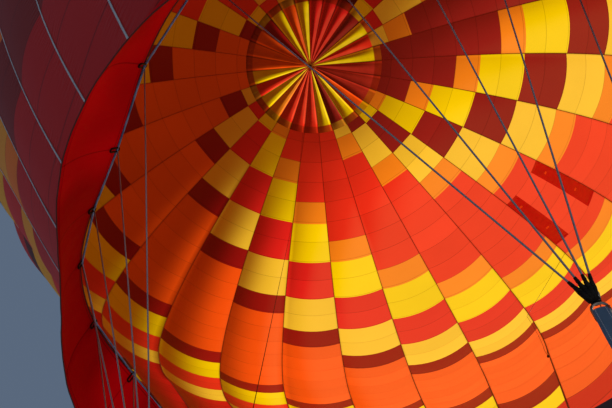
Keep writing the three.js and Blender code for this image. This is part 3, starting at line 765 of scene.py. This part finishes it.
FLAP_CLOTH = flap_finish()
for side, first in (("left", 0.0), ("right", 1 - FLAP_SHARE)):

    def flap_place(across, up, first=first):
        gores = TURN_GORE + first + (FLAP_GAP + (1 - 2 * FLAP_GAP) * across) * FLAP_SHARE
        row = TURN_ROWS[1] - up * (TURN_ROWS[1] - TURN_ROWS[0])
        return cloth_point(gores, row, FLAP_DEPTH), Vector((first + across * FLAP_SHARE, row))

    flap = new_piece(
        f"turning_flap_{side}", cloth_grid(6, 24, flap_place), FLAP_CLOTH,
        slot="vent_fabric", replaces=[f"turning_vent_{side}"],
    )
    thicken(flap, FLAP_THICK)
turn_lines = [
    [cloth_point(gores, row, depth) for gores, first, last, depth in runs for row in range(first, last + 1)]
    + [TURN_KNOT]
    for runs in TURN_RUNS
]
lines_piece("turning_lines", turn_lines, CORD_RADIUS, DARK_CORD)
turn_knot_mesh = bmesh.new()
ball(turn_knot_mesh, TURN_KNOT, TURN_KNOT_RADIUS, 2)
new_piece("turning_knot", turn_knot_mesh, DARK_CORD)

# Mouth hem and skirt. The mouth ends in a rolled hem. A skirt of flame-proof cloth in four panels hangs
# below it, nearly straight, and is drawn to one side with the mouth. It has a thin corded hem of its own.
HEM_RADIUS = 0.014
SKIRT_HEM_RADIUS = 0.0056
SKIRT_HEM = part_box("skirt_panel_1")[0].z
SKIRT_RADIUS = 3.115
SKIRT_PANELS = 4
SKIRT_REACH = GORES // SKIRT_PANELS
SKIRT_THICK = 0.006
# Columns: depth, waves in two gores, start of the wave in radians.
SKIRT_FOLDS = [(0.002, 3, 0.0), (0.0012, 5, 1.3)]
SKIRT_BELLY = 0.05
SKIRT_DRAWN = {"in": 0.07, "out": 0.16, "seam": 7.8, "spread": 1.2, "reach": (2.5, 5.5)}


def skirt_finish():
    cloth = Finish("skirt_cloth", roughness=0.7, specular_ior_level=0.02, emission_strength=0.42)
    gores, down, _ = cloth.chart().parts()
    edge = abs(gores % 1 - 0.5) * 2
    seam = (edge > 0.988) + (abs(down - 0.94) < 0.006) + (abs(down - 0.05) < 0.006)
    shade = (0.7 + 0.5 * cloth.place().noise(1.1, 3.0)) * (1 - 0.45 * seam)
    colour = cloth.plain("BC000A").mixed(1.0, shade, "MULTIPLY")
    # Painted light: the skirt glows in soft brighter patches, as sunlight through the cloth, over a darkened
    # base colour.
    glow = 0.30 + 0.55 * cloth.place().stretched(0.7, 0.7, 0.4).noise(1.0, 2.0).eased(0.42, 0.68)
    drape = cloth.chart().stretched(1.4, 0.5, 1.0).noise(1.3, 3.0)
    weave = cloth.chart().stretched(900.0, 900.0, 1.0).noise(1.0, 1.0)
    height = drape * 0.09 + weave * 0.0006 - seam * 0.003
    return cloth.finished(colour.mixed(0.6, BLACK), height, 0.8, colour.mixed(1.0, glow, "MULTIPLY"))


SKIRT_CLOTH = skirt_finish()
HEM_WEBBING = cord_finish("hem_webbing", "40060A", scale=170.0)


def skirt_point(gores, down):
    top = cloth_point(gores, MOUTH_ROW, CLOTH_THICK / 2)
    fold = sum(depth * math.sin(waves * math.pi * gores + start) for depth, waves, start in SKIRT_FOLDS)
    near = near_seam(gores, PULLED_SEAM, SKIRT_DRAWN["reach"])
    gores -= pulled(gores, MOUTH_ROW)[0]
    pushed = SKIRT_DRAWN["out"] * swell_at(gores, SKIRT_DRAWN["seam"], SKIRT_DRAWN["spread"])
    drawn_in = (SKIRT_DRAWN["in"] - pushed) * near
    foot = turned(SKIRT_RADIUS + drawn_in + fold, seam_azimuth(gores), SKIRT_HEM)
    belly = SKIRT_BELLY * math.sin(math.pi * down)
    point = top.lerp(foot, down)
    return point + turned(belly, math.atan2(point.y, point.x), 0)


for panel in range(SKIRT_PANELS):

    def skirt_place(across, up, panel=panel):
        gores = (panel + across) * SKIRT_REACH
        return skirt_point(gores, 1 - up), Vector((gores, 1 - up))

    skirt = new_piece(
        f"skirt_cloth_{panel + 1}", cloth_grid(SKIRT_REACH * 8, 12, skirt_place), SKIRT_CLOTH,
        slot="skirt_fabric", replaces=[f"skirt_panel_{panel + 1}"],
    )
    thicken(skirt, SKIRT_THICK)
    height = meridian(MOUTH_ROW).y - SKIRT_HEM
hem_spots = [i / 8 for i in range(GORES * 8)]
mouth_line = [cloth_point(gores, MOUTH_ROW, CLOTH_THICK / 2) for gores in hem_spots]
lines_piece("mouth_hem", [mouth_line], HEM_RADIUS, HEM_WEBBING, slot="skirt_fabric", closed=True)
skirt_line = [skirt_point(gores, 1.0) for gores in hem_spots]
lines_piece("skirt_hem", [skirt_line], SKIRT_HEM_RADIUS, HEM_WEBBING, slot="skirt_fabric", closed=True)

# Scoop rope. A blue-grey rope runs straight from tape to tape just inside the hem. A small black karabiner
# holds it at each tape, where the skirt's own hooks go.
ROPE_RADIUS = 0.010
HOOK = {"length": 0.13, "half": 0.019, "bar": 0.009, "depth": 0.034, "below": 0.03, "hangs": 0.3}
HOOK_STEPS = 16


def rope_finish():
    rope = Finish("scoop_rope", roughness=0.6)
    x, y, z = rope.place().parts()
    lay = abs((x + y + 2 * z) / 0.018 % 1 - 0.5)
    height = lay * 0.003
    return rope.finished(rope.place().noise(8.0, 3.0).ramp([(0.3, "38689C"), (0.7, "78AEDC")]), height)


def hook_place(seam):
    """Where a tape's hook hangs, and the way down the cloth from there."""
    down = (skirt_point(seam, 0.2) - skirt_point(seam, 0.0)).normalized()
    return cloth_point(seam, MOUTH_ROW, HOOK["depth"]) + down * HOOK["below"], down


rope_points = [hook_place(seam)[0] for seam in range(GORES)]
lines_piece("scoop_rope", [rope_points], ROPE_RADIUS, rope_finish(), slot="skirt_fabric", closed=True)
hooks = []
for seam in range(GORES):
    top, down = hook_place(seam)
    round_mouth = down.cross(Vector((-top.x, -top.y, 0))).normalized() * HOOK["half"]
    ring = []
    middle = top + down * HOOK["length"] * HOOK["hangs"]
    for i in range(HOOK_STEPS):
        turn = 2 * math.pi * i / HOOK_STEPS
        reach = down * (HOOK["length"] / 2 - HOOK["half"]) * (1 if math.sin(turn) > 0 else -1)
        ring.append(middle + reach + round_mouth * math.cos(turn) + down * HOOK["half"] * math.sin(turn))
    hooks.append(ring)
HOOK_STEEL = plain_metal("hook_steel", "1C1C20", 0.45)
lines_piece("skirt_hooks", hooks, HOOK["bar"], HOOK_STEEL, slot="skirt_fabric", closed=True)

# Flying wires. Braided steel cables from a sewn loop on every tape, gathered at eight points. Each ends in
# a tapered black sleeve over its crimped eye, and all the eyes of a bundle share one thimble.
WIRE_RADIUS = 0.006
WIRE_START = 0.05
SLEEVE_RADIUS = 0.0165
SLEEVE_LENGTH = 0.155
SLEEVE_STRAIGHT = 0.72
SLEEVE_TIP = 0.009
FERRULE = {"foot": 0.011, "head": 0.008, "length": 0.03}
THIMBLE = {"foot": 0.036, "head": 0.026, "length": 0.05}
JUNCTION_HEIGHT = -20.44
LUG_TOP = -20.82
EYE = 0.045
WIRE_TOP = {"row": MOUTH_ROW - 0.015, "depth": 0.024}
# Columns: bundle, side along X, side along Y, kind, first seam, last seam.
BUNDLES = [
    ("end_1", 1, 1, "end", 5, 7),
    ("long_1", 1, 1, "long", 8, 11),
    ("long_2", -1, 1, "long", 12, 15),
    ("end_2", -1, 1, "end", 16, 18),
    ("end_3", -1, -1, "end", 19, 21),
    ("long_3", -1, -1, "long", 22, 25),
    ("long_4", 1, -1, "long", 26, 29),
    ("end_4", 1, -1, "end", 30, 32),
]
JUNCTIONS = {"long": (1.45, 0.58), "end": (1.85, 0.28)}
LUGS = {"long": (1.37, 0.525), "end": (1.715, 0.25)}


def rig_point(side_x, side_y, reach, height):
    """A point of the rig, mirrored to any of its four corners."""
    return Vector((RIG_X + side_x * reach[0], side_y * reach[1], height))


def sleeve_finish():
    rubber = Finish("black_sleeve", roughness=0.7, specular_ior_level=0.25)
    scuff = rubber.place().noise(45.0, 4.0)
    return rubber.finished(scuff.ramp([(0.35, "030405"), (0.75, "0E1013")]), scuff * 0.002)


CABLE = cord_finish("flying_cable", "8A91A0", scale=260.0, depth=0.001, metallic=0.6, roughness=0.45)
SLEEVE = sleeve_finish()
for name, side_x, side_y, kind, first, last in BUNDLES:
    junction = rig_point(side_x, side_y, JUNCTIONS[kind], JUNCTION_HEIGHT)
    lug = rig_point(side_x, side_y, LUGS[kind], LUG_TOP)
    down = (lug - junction).normalized()
    wires = []
    sleeves = bmesh.new()
    for seam in range(first, last + 1):
        top = cloth_point(seam % GORES, WIRE_TOP["row"], WIRE_TOP["depth"])
        along = (top - junction).normalized()
        wires.append([junction + along * WIRE_START, top])
        shoulder = junction + along * SLEEVE_LENGTH * SLEEVE_STRAIGHT
        tip = junction + along * SLEEVE_LENGTH
        bar(sleeves, junction + along * EYE, shoulder, SLEEVE_RADIUS, sides=16)
        bar(sleeves, shoulder, tip, SLEEVE_RADIUS, SLEEVE_TIP, sides=16)
        bar(sleeves, tip, tip + along * FERRULE["length"], FERRULE["foot"], FERRULE["head"], sides=16)
    eye = junction - down * EYE
    bar(sleeves, eye - down * THIMBLE["length"], eye, THIMBLE["foot"], THIMBLE["head"], sides=20)
    lines_piece(f"cables_{name}", wires, WIRE_RADIUS, CABLE, slot="flying_wire")
    new_piece(f"sleeves_{name}", sleeves, SLEEVE, slot="flying_wire", replaces=[f"flying_wires_{name}"])

# Tape loops. The foot of every load tape turns back on itself round the wire's eye and is sewn down.
LOOP_ROWS = (MOUTH_ROW - 0.11, MOUTH_ROW - 0.005)
seam_tapes("tape_loops", TAPE_WEBBING, (2, 3), LOOP_ROWS, depth=0.020, width=0.042, thick=0.012)

# Suspension links. A steel karabiner takes each bundle's thimble, and a padded strap of blue-grey webbing
# runs from it to a lug on the load frame.
KARABINER = {"width": 0.090, "length": 0.150, "bar": 0.0075, "gate": 0.0105, "play": 0.0005}
STRAP = {"width": 0.076, "thick": 0.026, "covers": 0.038, "puff": 0.12}
STEEL = {"finish": plain_metal("karabiner_steel", "B4B0A8", 0.25, 90.0), "slot": "flying_wire"}


def strap_finish():
    strap = Finish("strap_webbing", roughness=0.78, sheen_weight=0.3)
    across, along, _ = strap.chart().parts()
    ribs = abs(along / 0.004 % 1 - 0.5) + abs(across * 18 % 1 - 0.5)
    stitch = (abs(abs(across - 0.5) - 0.33) < 0.022) * (along / 0.011 % 1 < 0.62)
    colour = strap.uneven("3C6484", 0.55, 1.0, strap.place().noise(14.0, 4.0))
    return strap.finished(colour.mixed(stitch, "AEBACA"), ribs * 0.0006 + stitch * 0.0007)


STRAP_WEBBING = strap_finish()


def belt(mesh, start, end, side, width, thick):
    """A soft-edged strap from start to end, charted across and along in metres."""
    chart = mesh.loops.layers.uv.get("cut") or mesh.loops.layers.uv.new("cut")
    facing = side.cross(end - start).normalized()
    half = [(-0.5, -0.25), (-0.44, -0.5), (0.44, -0.5), (0.5, -0.25)]
    section = half + [(-x, -y) for x, y in half]
    rings = []
    for share in (step / 10 for step in range(11)):
        puff = 1 + STRAP["puff"] * math.sin(math.pi * share)
        centre = start.lerp(end, share)
        spots = [centre + puff * (side * x * width + facing * y * thick) for x, y in section]
        rings.append([mesh.verts.new(spot) for spot in spots])
    made = [mesh.faces.new(rings[0][::-1]), mesh.faces.new(rings[-1])]
    for low, high in zip(rings, rings[1:]):
        for i in range(-1, len(section) - 1):
            made.append(mesh.faces.new((low[i], low[i + 1], high[i + 1], high[i])))
    for face in made:
        for corner in face.loops:
            away = corner.vert.co - start
            corner[chart].uv = (away.dot(side) / width + 0.5, (away - side * away.dot(side)).length)
    bmesh.ops.recalc_face_normals(mesh, faces=made)


def half_ring(centre, across, up, start):
    """Half a circle of points from a turn in radians. Across and up are its half axes."""
    turns = [start + math.pi * i / 12 for i in range(13)]
    return [centre + across * math.cos(turn) + up * math.sin(turn) for turn in turns]


for name, side_x, side_y, kind, _, _ in BUNDLES:
    junction = rig_point(side_x, side_y, JUNCTIONS[kind], JUNCTION_HEIGHT)
    lug = rig_point(side_x, side_y, LUGS[kind], LUG_TOP)
    along = (junction - lug).normalized()
    side = Vector((0, 1, 0)).rotation_difference(along) @ Vector((1, 0, 0))
    top = junction + along * (EYE - KARABINER["play"])
    half = KARABINER["width"] / 2 - KARABINER["bar"]
    high = top - along * (half + KARABINER["bar"])
    low = top - along * (KARABINER["length"] - half - KARABINER["bar"])
    ring = half_ring(high, side * half, along * half, 0) + half_ring(low, side * half, along * half, math.pi)
    lines_piece(f"karabiner_{name}", [ring], KARABINER["bar"], closed=True, **STEEL)
    gate = bmesh.new()
    bar(gate, high - side * half, low - side * half, KARABINER["gate"], sides=16)
    new_piece(f"karabiner_gate_{name}", gate, **STEEL)
    strap_mesh = bmesh.new()
    strap_top = top - along * STRAP["covers"]
    belt(strap_mesh, lug, strap_top, side, STRAP["width"], STRAP["thick"])
    strap = new_piece(
        f"strap_{name}", strap_mesh, STRAP_WEBBING,
        slot="link_webbing", replaces=[f"suspension_link_{name}"],
    )
    softened = strap.modifiers.new("soft edges", "SUBSURF")
    softened.levels = softened.render_levels = 2


# Load frame and gimbal. Welded square tube, painted dark grey. The gimbal swings in the frame's cross bars
# and the burners swing across it, so the flame can be aimed.
def frame_paint():
    coat = Finish("frame_coat", roughness=0.42, metallic=0.2, coat_weight=0.25)
    chips = coat.place().noise(38.0, 5.0)
    colour = coat.uneven("3A3E45", 0.75, 0.5, coat.place().noise(5.0, 3.0))
    height = coat.place().noise(300.0, 1.0) * 0.0003 - (chips > 0.68) * 0.0003
    return coat.finished(colour.mixed(chips > 0.68, "8C9096"), height)


BURNER_STEEL = plain_metal("burner_steel", "A9ABAE", 0.3, 80.0)
dress(frame_paint(), "load_frame", "gimbal_frame")
dress(BURNER_STEEL, "burner_tray")

# Burners. Each can is a thin stainless drum with a rolled lip. Inside, the fuel runs through a coil of
# steel tube over the jet ring, and a small pilot light stands beside it.
CAN_OUTER = 0.150
CAN_INNER = 0.143
CAN_INWARD = 0.18
CAN_FOOT, CAN_TOP = (corner.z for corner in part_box("burner_can_left"))
CAN_SIDE = CAN_OUTER - 0.004
BASE = CAN_FOOT + 0.030
HOLE = 0.02
# Columns: radius, height.
CAN_PROFILE = [
    (HOLE, CAN_FOOT),
    (CAN_OUTER - 0.012, CAN_FOOT),
    (CAN_SIDE, CAN_FOOT + 0.01),
    (CAN_SIDE, CAN_FOOT + 0.10),
    (CAN_OUTER, CAN_FOOT + 0.104),
    (CAN_OUTER, CAN_FOOT + 0.114),
    (CAN_SIDE, CAN_FOOT + 0.118),
    (CAN_SIDE, CAN_TOP - 0.012),
    (CAN_OUTER, CAN_TOP - 0.008),
    (CAN_OUTER, CAN_TOP - 0.002),
    (CAN_SIDE, CAN_TOP),
    (CAN_INNER, CAN_TOP - 0.002),
    (CAN_INNER, BASE),
    (HOLE, BASE),
]
JET_TOP = CAN_FOOT + 0.095
JET_PROFILE = [
    (HOLE, BASE),
    (0.055, BASE),
    (0.055, CAN_FOOT + 0.08),
    (0.045, JET_TOP),
    (0.03, JET_TOP),
    (HOLE, CAN_FOOT + 0.11),
]
JETS = {"count": 16, "ring": 0.05, "height": 0.014, "foot": 0.004, "tip": 0.003}
PILOT = {"aside": 0.085, "height": 0.09, "radius": 0.012}
COIL = {"radius": 0.112, "narrows": 0.03, "tube": 0.0075, "foot": 0.075, "rise": 0.34}
COIL_TURNS = 7
COIL_STEPS = 28
# Columns: share of the can's height, colour.
HEAT_COLOURS = [(0.0, "A8AAAC"), (0.55, "B7A88C"), (0.8, "8C6A4C"), (0.93, "5A5F78"), (1.0, "3E3A3A")]


def spun(mesh, profile, centre):
    """A closed turned shape: the profile's radius and height pairs are spun about a vertical axis."""
    before = set(mesh.verts)
    ring = [mesh.verts.new((radius, 0, height)) for radius, height in profile]
    edges = [mesh.edges.new(pair) for pair in zip(ring, ring[1:] + ring[:1])]
    bmesh.ops.spin(
        mesh, geom=ring + edges, cent=(0, 0, 0), axis=(0, 0, 1), dvec=(0, 0, 0),
        angle=2 * math.pi, steps=48, use_merge=True, use_duplicate=False,
    )
    made = [vert for vert in mesh.verts if vert not in before]
    bmesh.ops.remove_doubles(mesh, verts=made, dist=1e-5)
    made = [vert for vert in mesh.verts if vert not in before]
    bmesh.ops.recalc_face_normals(mesh, faces=list({face for vert in made for face in vert.link_faces}))
    bmesh.ops.translate(mesh, verts=made, vec=centre)


def can_finish():
    can = Finish("can_steel", metallic=1.0)
    height = can.place().parts()[2]
    tint = (height - CAN_FOOT) / (CAN_TOP - CAN_FOOT) + 0.12 * (can.place().noise(7.0, 3.0) - 0.5)
    scratches = can.place().stretched(0.2, 0.2, 1).noise(160.0, 3.0)
    can.feed("Roughness", 0.22 + 0.25 * scratches)
    return can.finished(tint.ramp(HEAT_COLOURS), scratches * 0.0003)


CAN_STEEL = can_finish()
BURNER = {"body": "burners", "slot": "burner_steel"}
for side_name, side in (("left", -1), ("right", 1)):
    centre = Vector((RIG_X + side * CAN_INWARD, 0, 0))
    can_mesh = bmesh.new()
    spun(can_mesh, CAN_PROFILE, centre)
    new_piece(f"can_{side_name}", can_mesh, CAN_STEEL, replaces=[f"burner_can_{side_name}"], **BURNER)
    jets = bmesh.new()
    spun(jets, JET_PROFILE, centre)
    for turn in range(JETS["count"]):
        spot = centre + turned(JETS["ring"], 2 * math.pi * turn / JETS["count"], JET_TOP)
        bar(jets, spot, spot + UP * JETS["height"], JETS["foot"], JETS["tip"], sides=8)
    pilot = centre + Vector((PILOT["aside"], 0, BASE))
    bar(jets, pilot, pilot + UP * PILOT["height"], PILOT["radius"], sides=12)
    new_piece(f"jets_{side_name}", jets, BURNER_STEEL, **BURNER)
    coil = []
    for i in range(COIL_TURNS * COIL_STEPS + 1):
        share = i / (COIL_TURNS * COIL_STEPS)
        height = CAN_FOOT + COIL["foot"] + COIL["rise"] * share
        reach = COIL["radius"] - COIL["narrows"] * share
        coil.append(centre + turned(reach, 2 * math.pi * i / COIL_STEPS, height))
    lines_piece(f"coil_{side_name}", [coil], COIL["tube"], CAN_STEEL, **BURNER)

# Basket wall. Willow and cane woven round upright stakes: each weaver passes outside one stake and inside
# the next, and the rows swap. Four toe holes are left open on each long side, for climbing in.
WALL_OUT = (1.95, 0.82, 0.16)
STAKE_PITCH = 0.075
WEAVER = 0.024
CANE_THICK = 0.003


def wicker_finish(name, charted=False):
    cane = Finish(name, roughness=0.5, coat_weight=0.2)
    if charted:
        around, row, _ = cane.chart().parts()
    else:
        x, y, z = cane.place().parts()
        around = (x * 0.999 + y) / STAKE_PITCH
        row = (z + AIR_CENTRE) / WEAVER
    wave = ((around + row.floor() % 2) * math.pi).sine()
    strand = 1 - (abs(row % 1 - 0.5) * 2) ** 2
    # Painted shade: dark in the narrow gaps between rows of weavers.
    gap = abs(row % 1 - 0.5) > 0.44
    grain = cane.place().noise(90.0, 3.0)
    tone = row.floor().node("ShaderNodeTexWhiteNoise", {"W": row.floor()}, noise_dimensions="1D")
    # Partly painted shade: strands lighter where they pass outside a stake and darker where they dip in; the
    # grain and each row's tone are the cane's own.
    mix = 0.45 * grain + 0.35 * tone + 0.2 * wave
    colour = mix.ramp([(0.05, "6B4622"), (0.4, "A87A40"), (0.85, "D9B072")])
    height = (wave * 0.5 + 0.5) * strand * 0.012 + grain * 0.001
    return cane.finished(colour.mixed(gap * 0.75, "2A1809"), height)


dress(wicker_finish("wicker_cane"), "basket_wall", "partition_left", "partition_right")


def wall_place(distance, out):
    """A point so far round the wall's outer face, anticlockwise, and so far out from it."""
    long, wide, corner = WALL_OUT
    for turn in range(4):
        half_out, half_along = (long, wide) if turn % 2 == 0 else (wide, long)
        flat = 2 * (half_along - corner)
        if turn == 3 or distance < flat + corner * math.pi / 2:
            break
        distance -= flat + corner * math.pi / 2
    facing = turned(1, turn * math.pi / 2, 0)
    along = turned(1, (turn + 1) * math.pi / 2, 0)
    if distance <= flat:
        normal = facing
        point = facing * half_out + along * (distance - half_along + corner)
    else:
        angle = (distance - flat) / corner
        normal = facing * math.cos(angle) + along * math.sin(angle)
        point = facing * (half_out - corner) + along * (half_along - corner) + normal * corner
    return point + normal * out + Vector((RIG_X, 0, 0))


WALL_ROUND = 4 * (WALL_OUT[0] + WALL_OUT[1] - 2 * WALL_OUT[2]) + 2 * math.pi * WALL_OUT[2]
STAKES = 2 * round(WALL_ROUND / STAKE_PITCH / 2)
WALL_LOW, WALL_HIGH = (corner.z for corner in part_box("basket_wall"))
WALL_ROWS = round((WALL_HIGH - WALL_LOW) / WEAVER)
WEAVE = {"out": 0.004, "swing": 0.009, "gap": 0.25, "gap_out": 0.0024}
STEP_HOLES = [(x, z - AIR_CENTRE) for x in (-1.15, 1.15) for z in (0.36, 0.74)]
STEP_HALF = (0.095, 0.065)


def weave_place(across, up):
    around, row = across * STAKES, up * WALL_ROWS
    swing = 0.5 + 0.5 * math.sin(math.pi * (around + math.floor(row)))
    in_gap = abs(row - round(row)) <= WEAVE["gap"]
    out = WEAVE["gap_out"] if in_gap else WEAVE["out"] + WEAVE["swing"] * swing
    height = WALL_LOW + up * (WALL_HIGH - WALL_LOW)
    return wall_place(across * WALL_ROUND, out) + UP * height, Vector((around, row))


weave = cloth_grid(STAKES * 3, WALL_ROWS * 2, weave_place)
bmesh.ops.remove_doubles(weave, verts=weave.verts, dist=1e-5)
steps_cut = []
for face in weave.faces:
    middle = face.calc_center_median()
    for x, z in STEP_HOLES:
        if abs(middle.x - RIG_X - x) < STEP_HALF[0] and abs(middle.z - z) < STEP_HALF[1]:
            steps_cut.append(face)
bmesh.ops.delete(weave, geom=steps_cut, context="FACES")
bmesh.ops.recalc_face_normals(weave, faces=weave.faces)
woven = new_piece("woven_wall", weave, wicker_finish("woven_cane", charted=True), slot="wicker")
thicken(woven, CANE_THICK)


def board_finish():
    board = Finish("deck_board", roughness=0.62)
    grain = board.place().stretched(0.6, 14, 14).noise(6.0, 5.0)
    colour = grain.ramp([(0.3, "7A5A34"), (0.55, "A98757"), (0.75, "C7A672")])
    scuff = board.place().noise(9.0, 4.0)
    return board.finished(colour.mixed((scuff > 0.62) * 0.4, "5A4630"), grain * 0.002)


dress(board_finish(), "basket_floor", "skids")


# Basket rim. Foam rolled round the top of the wall and covered in hide. The same hide edges the toe holes.
def hide_finish(name, code):
    hide = Finish(name, roughness=0.48, coat_weight=0.12)
    cells = hide.start.node("ShaderNodeTexVoronoi", {"Vector": hide.place(), "Scale": 260.0})
    wear = hide.place().noise(11.0, 4.0)
    colour = hide.uneven(code, 0.6, 0.75, wear)
    return hide.finished(colour.mixed((wear > 0.64) * 0.35, "A87848"), cells * 0.0012 + wear * 0.002)


HIDE = hide_finish("rim_hide", "5A3218")
RIM_LOW, RIM_HIGH = (corner.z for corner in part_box("basket_rim"))
RIM_MID = (RIM_HIGH + RIM_LOW) / 2
RIM = {"reach": (1.79, 0.66), "corner": 0.1375, "half": 0.055, "steps": 12}
EDGING = {"radius": 0.014, "beside": 0.006, "out": 0.007}
CORNERS = [(1, 1), (-1, 1), (-1, -1), (1, -1)]

edgings = []
for x, z in STEP_HOLES:
    for side in (-1, 1):
        edging = []
        for i, j in [(-1, -1), (1, -1), (1, 1), (-1, 1)]:
            reach = (x + i * (STEP_HALF[0] + EDGING["beside"]), WALL_OUT[1] + EDGING["out"])
            edging.append(rig_point(1, side, reach, z + j * (STEP_HALF[1] + EDGING["beside"])))
        edgings.append(edging)
lines_piece("step_edging", edgings, EDGING["radius"], HIDE, slot="rim_leather", closed=True)

rim_line = []
for quarter, (side_x, side_y) in enumerate(CORNERS):
    centre = rig_point(side_x, side_y, RIM["reach"], RIM_MID)
    for i in range(RIM["steps"] + 1):
        rim_line.append(centre + turned(RIM["corner"], (quarter + i / RIM["steps"]) * math.pi / 2, 0))
rim = lines_piece("padded_rim", [rim_line], RIM["half"], HIDE, slot="rim_leather", closed=True)
for vert in rim.data.vertices:
    vert.co.z = RIM_MID + (vert.co.z - RIM_MID) * (RIM_HIGH - RIM_LOW) / 2 / RIM["half"]
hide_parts("basket_rim")

# Uprights. Nylon rods in padded, laced covers lead from the rim to the frame's sockets and hold the burners
# up while the envelope is slack.
UPRIGHT_HIDE = hide_finish("upright_hide", "4A2A16")
UPRIGHT_FOOT = (1.887, 0.757)
UPRIGHT_HEAD = (1.695, 0.505)
COVER = {"bands": 12, "thin": 0.031, "thick": 0.0355}
LACE = {"radius": 0.0025, "out": 0.037, "aside": 0.014, "below": 0.2, "above": 1.2}
for number, (side_x, side_y) in enumerate(CORNERS, 1):
    low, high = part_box(f"upright_{number}")
    foot = rig_point(side_x, side_y, UPRIGHT_FOOT, low.z)
    head = rig_point(side_x, side_y, UPRIGHT_HEAD, high.z)
    cover = bmesh.new()
    for band in range(COVER["bands"]):
        start = foot.lerp(head, band / COVER["bands"])
        end = foot.lerp(head, (band + 1) / COVER["bands"])
        middle = start.lerp(end, 0.5)
        bar(cover, start, middle, COVER["thin"], COVER["thick"], sides=20)
        bar(cover, middle, end, COVER["thick"], COVER["thin"], sides=20)
    new_piece(
        f"upright_cover_{number}", cover, UPRIGHT_HIDE,
        slot="upright_cover", replaces=[f"upright_{number}"],
    )
    lacing = []
    out = Vector((side_x, side_y, 0)).normalized() * LACE["out"]
    aside = Vector((-side_y, side_x, 0)).normalized() * LACE["aside"]
    turns = 2 * COVER["bands"]
    for i in range(turns + 1):
        spot = foot.lerp(head, (i + LACE["below"]) / (LACE["below"] + turns + LACE["above"]))
        lacing.append(spot + out + (aside if i % 2 else -aside))
    lines_piece(f"upright_lace_{number}", [lacing], LACE["radius"], DARK_CORD)

# Fuel cylinders. Brushed aluminium, with a collar round the valve and two straps to the basket's wall.
CYLINDER_METAL = plain_metal("cylinder_metal", "C2C6CB", 0.28, 70.0)
STRAP_BLACK = cord_finish("strap_black", "15161A")
CYLINDER_REACH = (0.34, 0.58)
# Columns: radius, height above the cylinder's foot.
TANK_LOW = [(0.001, 0.02), (0.12, 0.02), (0.128, 0), (0.136, 0), (0.145, 0.03), (0.172, 0.07), (0.18, 0.115)]
# Columns: radius, depth below the collar's top.
TANK_HIGH = [(0.18, 0.215), (0.17, 0.165), (0.145, 0.125), (0.10, 0.108), (0.001, 0.10)]
COLLAR = [(0.103, 0.11), (0.108, 0.11), (0.108, 0.006), (0.111, 0), (0.101, 0), (0.103, 0.006)]
VALVE = {"foot": 0.11, "head": 0.045, "radius": 0.022}
TAP = {"depth": 0.06, "half": 0.05, "radius": 0.013}
TANK_STRAP = {"heights": (0.26, 0.62), "inner": 0.1795, "outer": 0.1835, "wide": 0.045}
for number, (side_x, side_y) in enumerate(CORNERS, 1):
    foot, top = (corner.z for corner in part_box(f"fuel_cylinder_{number}"))
    centre = rig_point(side_x, side_y, CYLINDER_REACH, 0)
    upper = centre + UP * top
    half = Vector((TAP["half"], 0, 0))
    tank = bmesh.new()
    profile = [(radius, foot + height) for radius, height in TANK_LOW]
    spun(tank, profile + [(radius, top - depth) for radius, depth in TANK_HIGH], centre)
    spun(tank, [(radius, top - depth) for radius, depth in COLLAR], centre)
    bar(tank, upper - UP * VALVE["foot"], upper - UP * VALVE["head"], VALVE["radius"], sides=16)
    tap = upper - UP * TAP["depth"]
    bar(tank, tap - half, tap + half, TAP["radius"], sides=12)
    new_piece(
        f"cylinder_{number}", tank, CYLINDER_METAL,
        slot="cylinder_metal", replaces=[f"fuel_cylinder_{number}"],
    )
    bands_mesh = bmesh.new()
    for height in TANK_STRAP["heights"]:
        low, high = foot + height, foot + height + TANK_STRAP["wide"]
        inner, outer = TANK_STRAP["inner"], TANK_STRAP["outer"]
        spun(bands_mesh, [(inner, low), (outer, low), (outer, high), (inner, high)], centre)
    new_piece(f"cylinder_straps_{number}", bands_mesh, STRAP_BLACK)


# Stage. A plain pale floor under the skids, a sun from one side with a soft lamp inside the envelope, and
# the camera just off the floor, under the mouth, looking up.
CAMERA_AT = (-0.505, 2.505, -22.8)
CAMERA_RIGHT = Vector((-0.80027, -0.59938, -0.0173))
CAMERA_DOWN = Vector((0.57471, -0.75846, -0.30733))
CAMERA_AHEAD = Vector((0.17109, -0.25589, 0.95145))
LENS = 32.29
FLOOR_REACH = 400

floor_mesh = bmesh.new()
bmesh.ops.create_grid(floor_mesh, x_segments=1, y_segments=1, size=FLOOR_REACH)
bmesh.ops.translate(floor_mesh, verts=floor_mesh.verts, vec=(0, 0, -AIR_CENTRE))
floor_finish = Finish("floor_finish", roughness=0.9)
floor_finish.feed("Base Color", paint("D9D9D6"))
placed("floor", floor_mesh, floor_finish.material)


def lamp(name, kind, place, target, power, colour, **settings):
    light = linked(name, given(bpy.data.lights.new(name, kind), energy=power, color=colour, **settings))
    facing = (Vector(target) - Vector(place)).to_track_quat("-Z", "Y").to_euler()
    given(light, location=place, rotation_euler=facing, visible_camera=False)


lamp("sun", "SUN", (-40, -60, 40), (0, 0, 0), 2.6, (1.0, 0.95, 0.88), angle=0.1)
lamp("inside_key", "AREA", (4.5, 6.0, -6.0), (-6.0, -9.0, 1.0), 200, (1.0, 0.9, 0.75), size=7.0)
world = bpy.data.worlds.new("studio")
world.use_nodes = True
sky = world.node_tree.nodes["Background"].inputs
sky["Color"].default_value = (0.42, 0.58, 0.85, 1)
sky["Strength"].default_value = 0.24
bpy.context.scene.world = world
bpy.context.scene.view_settings.view_transform = "Standard"

camera = linked("camera", given(bpy.data.cameras.new("camera"), lens=LENS, sensor_width=36, clip_end=500))
axes = Matrix([CAMERA_RIGHT, -CAMERA_DOWN, -CAMERA_AHEAD]).transposed()
camera.matrix_world = Matrix.Translation(CAMERA_AT) @ axes.to_4x4()
bpy.context.scene.camera = camera
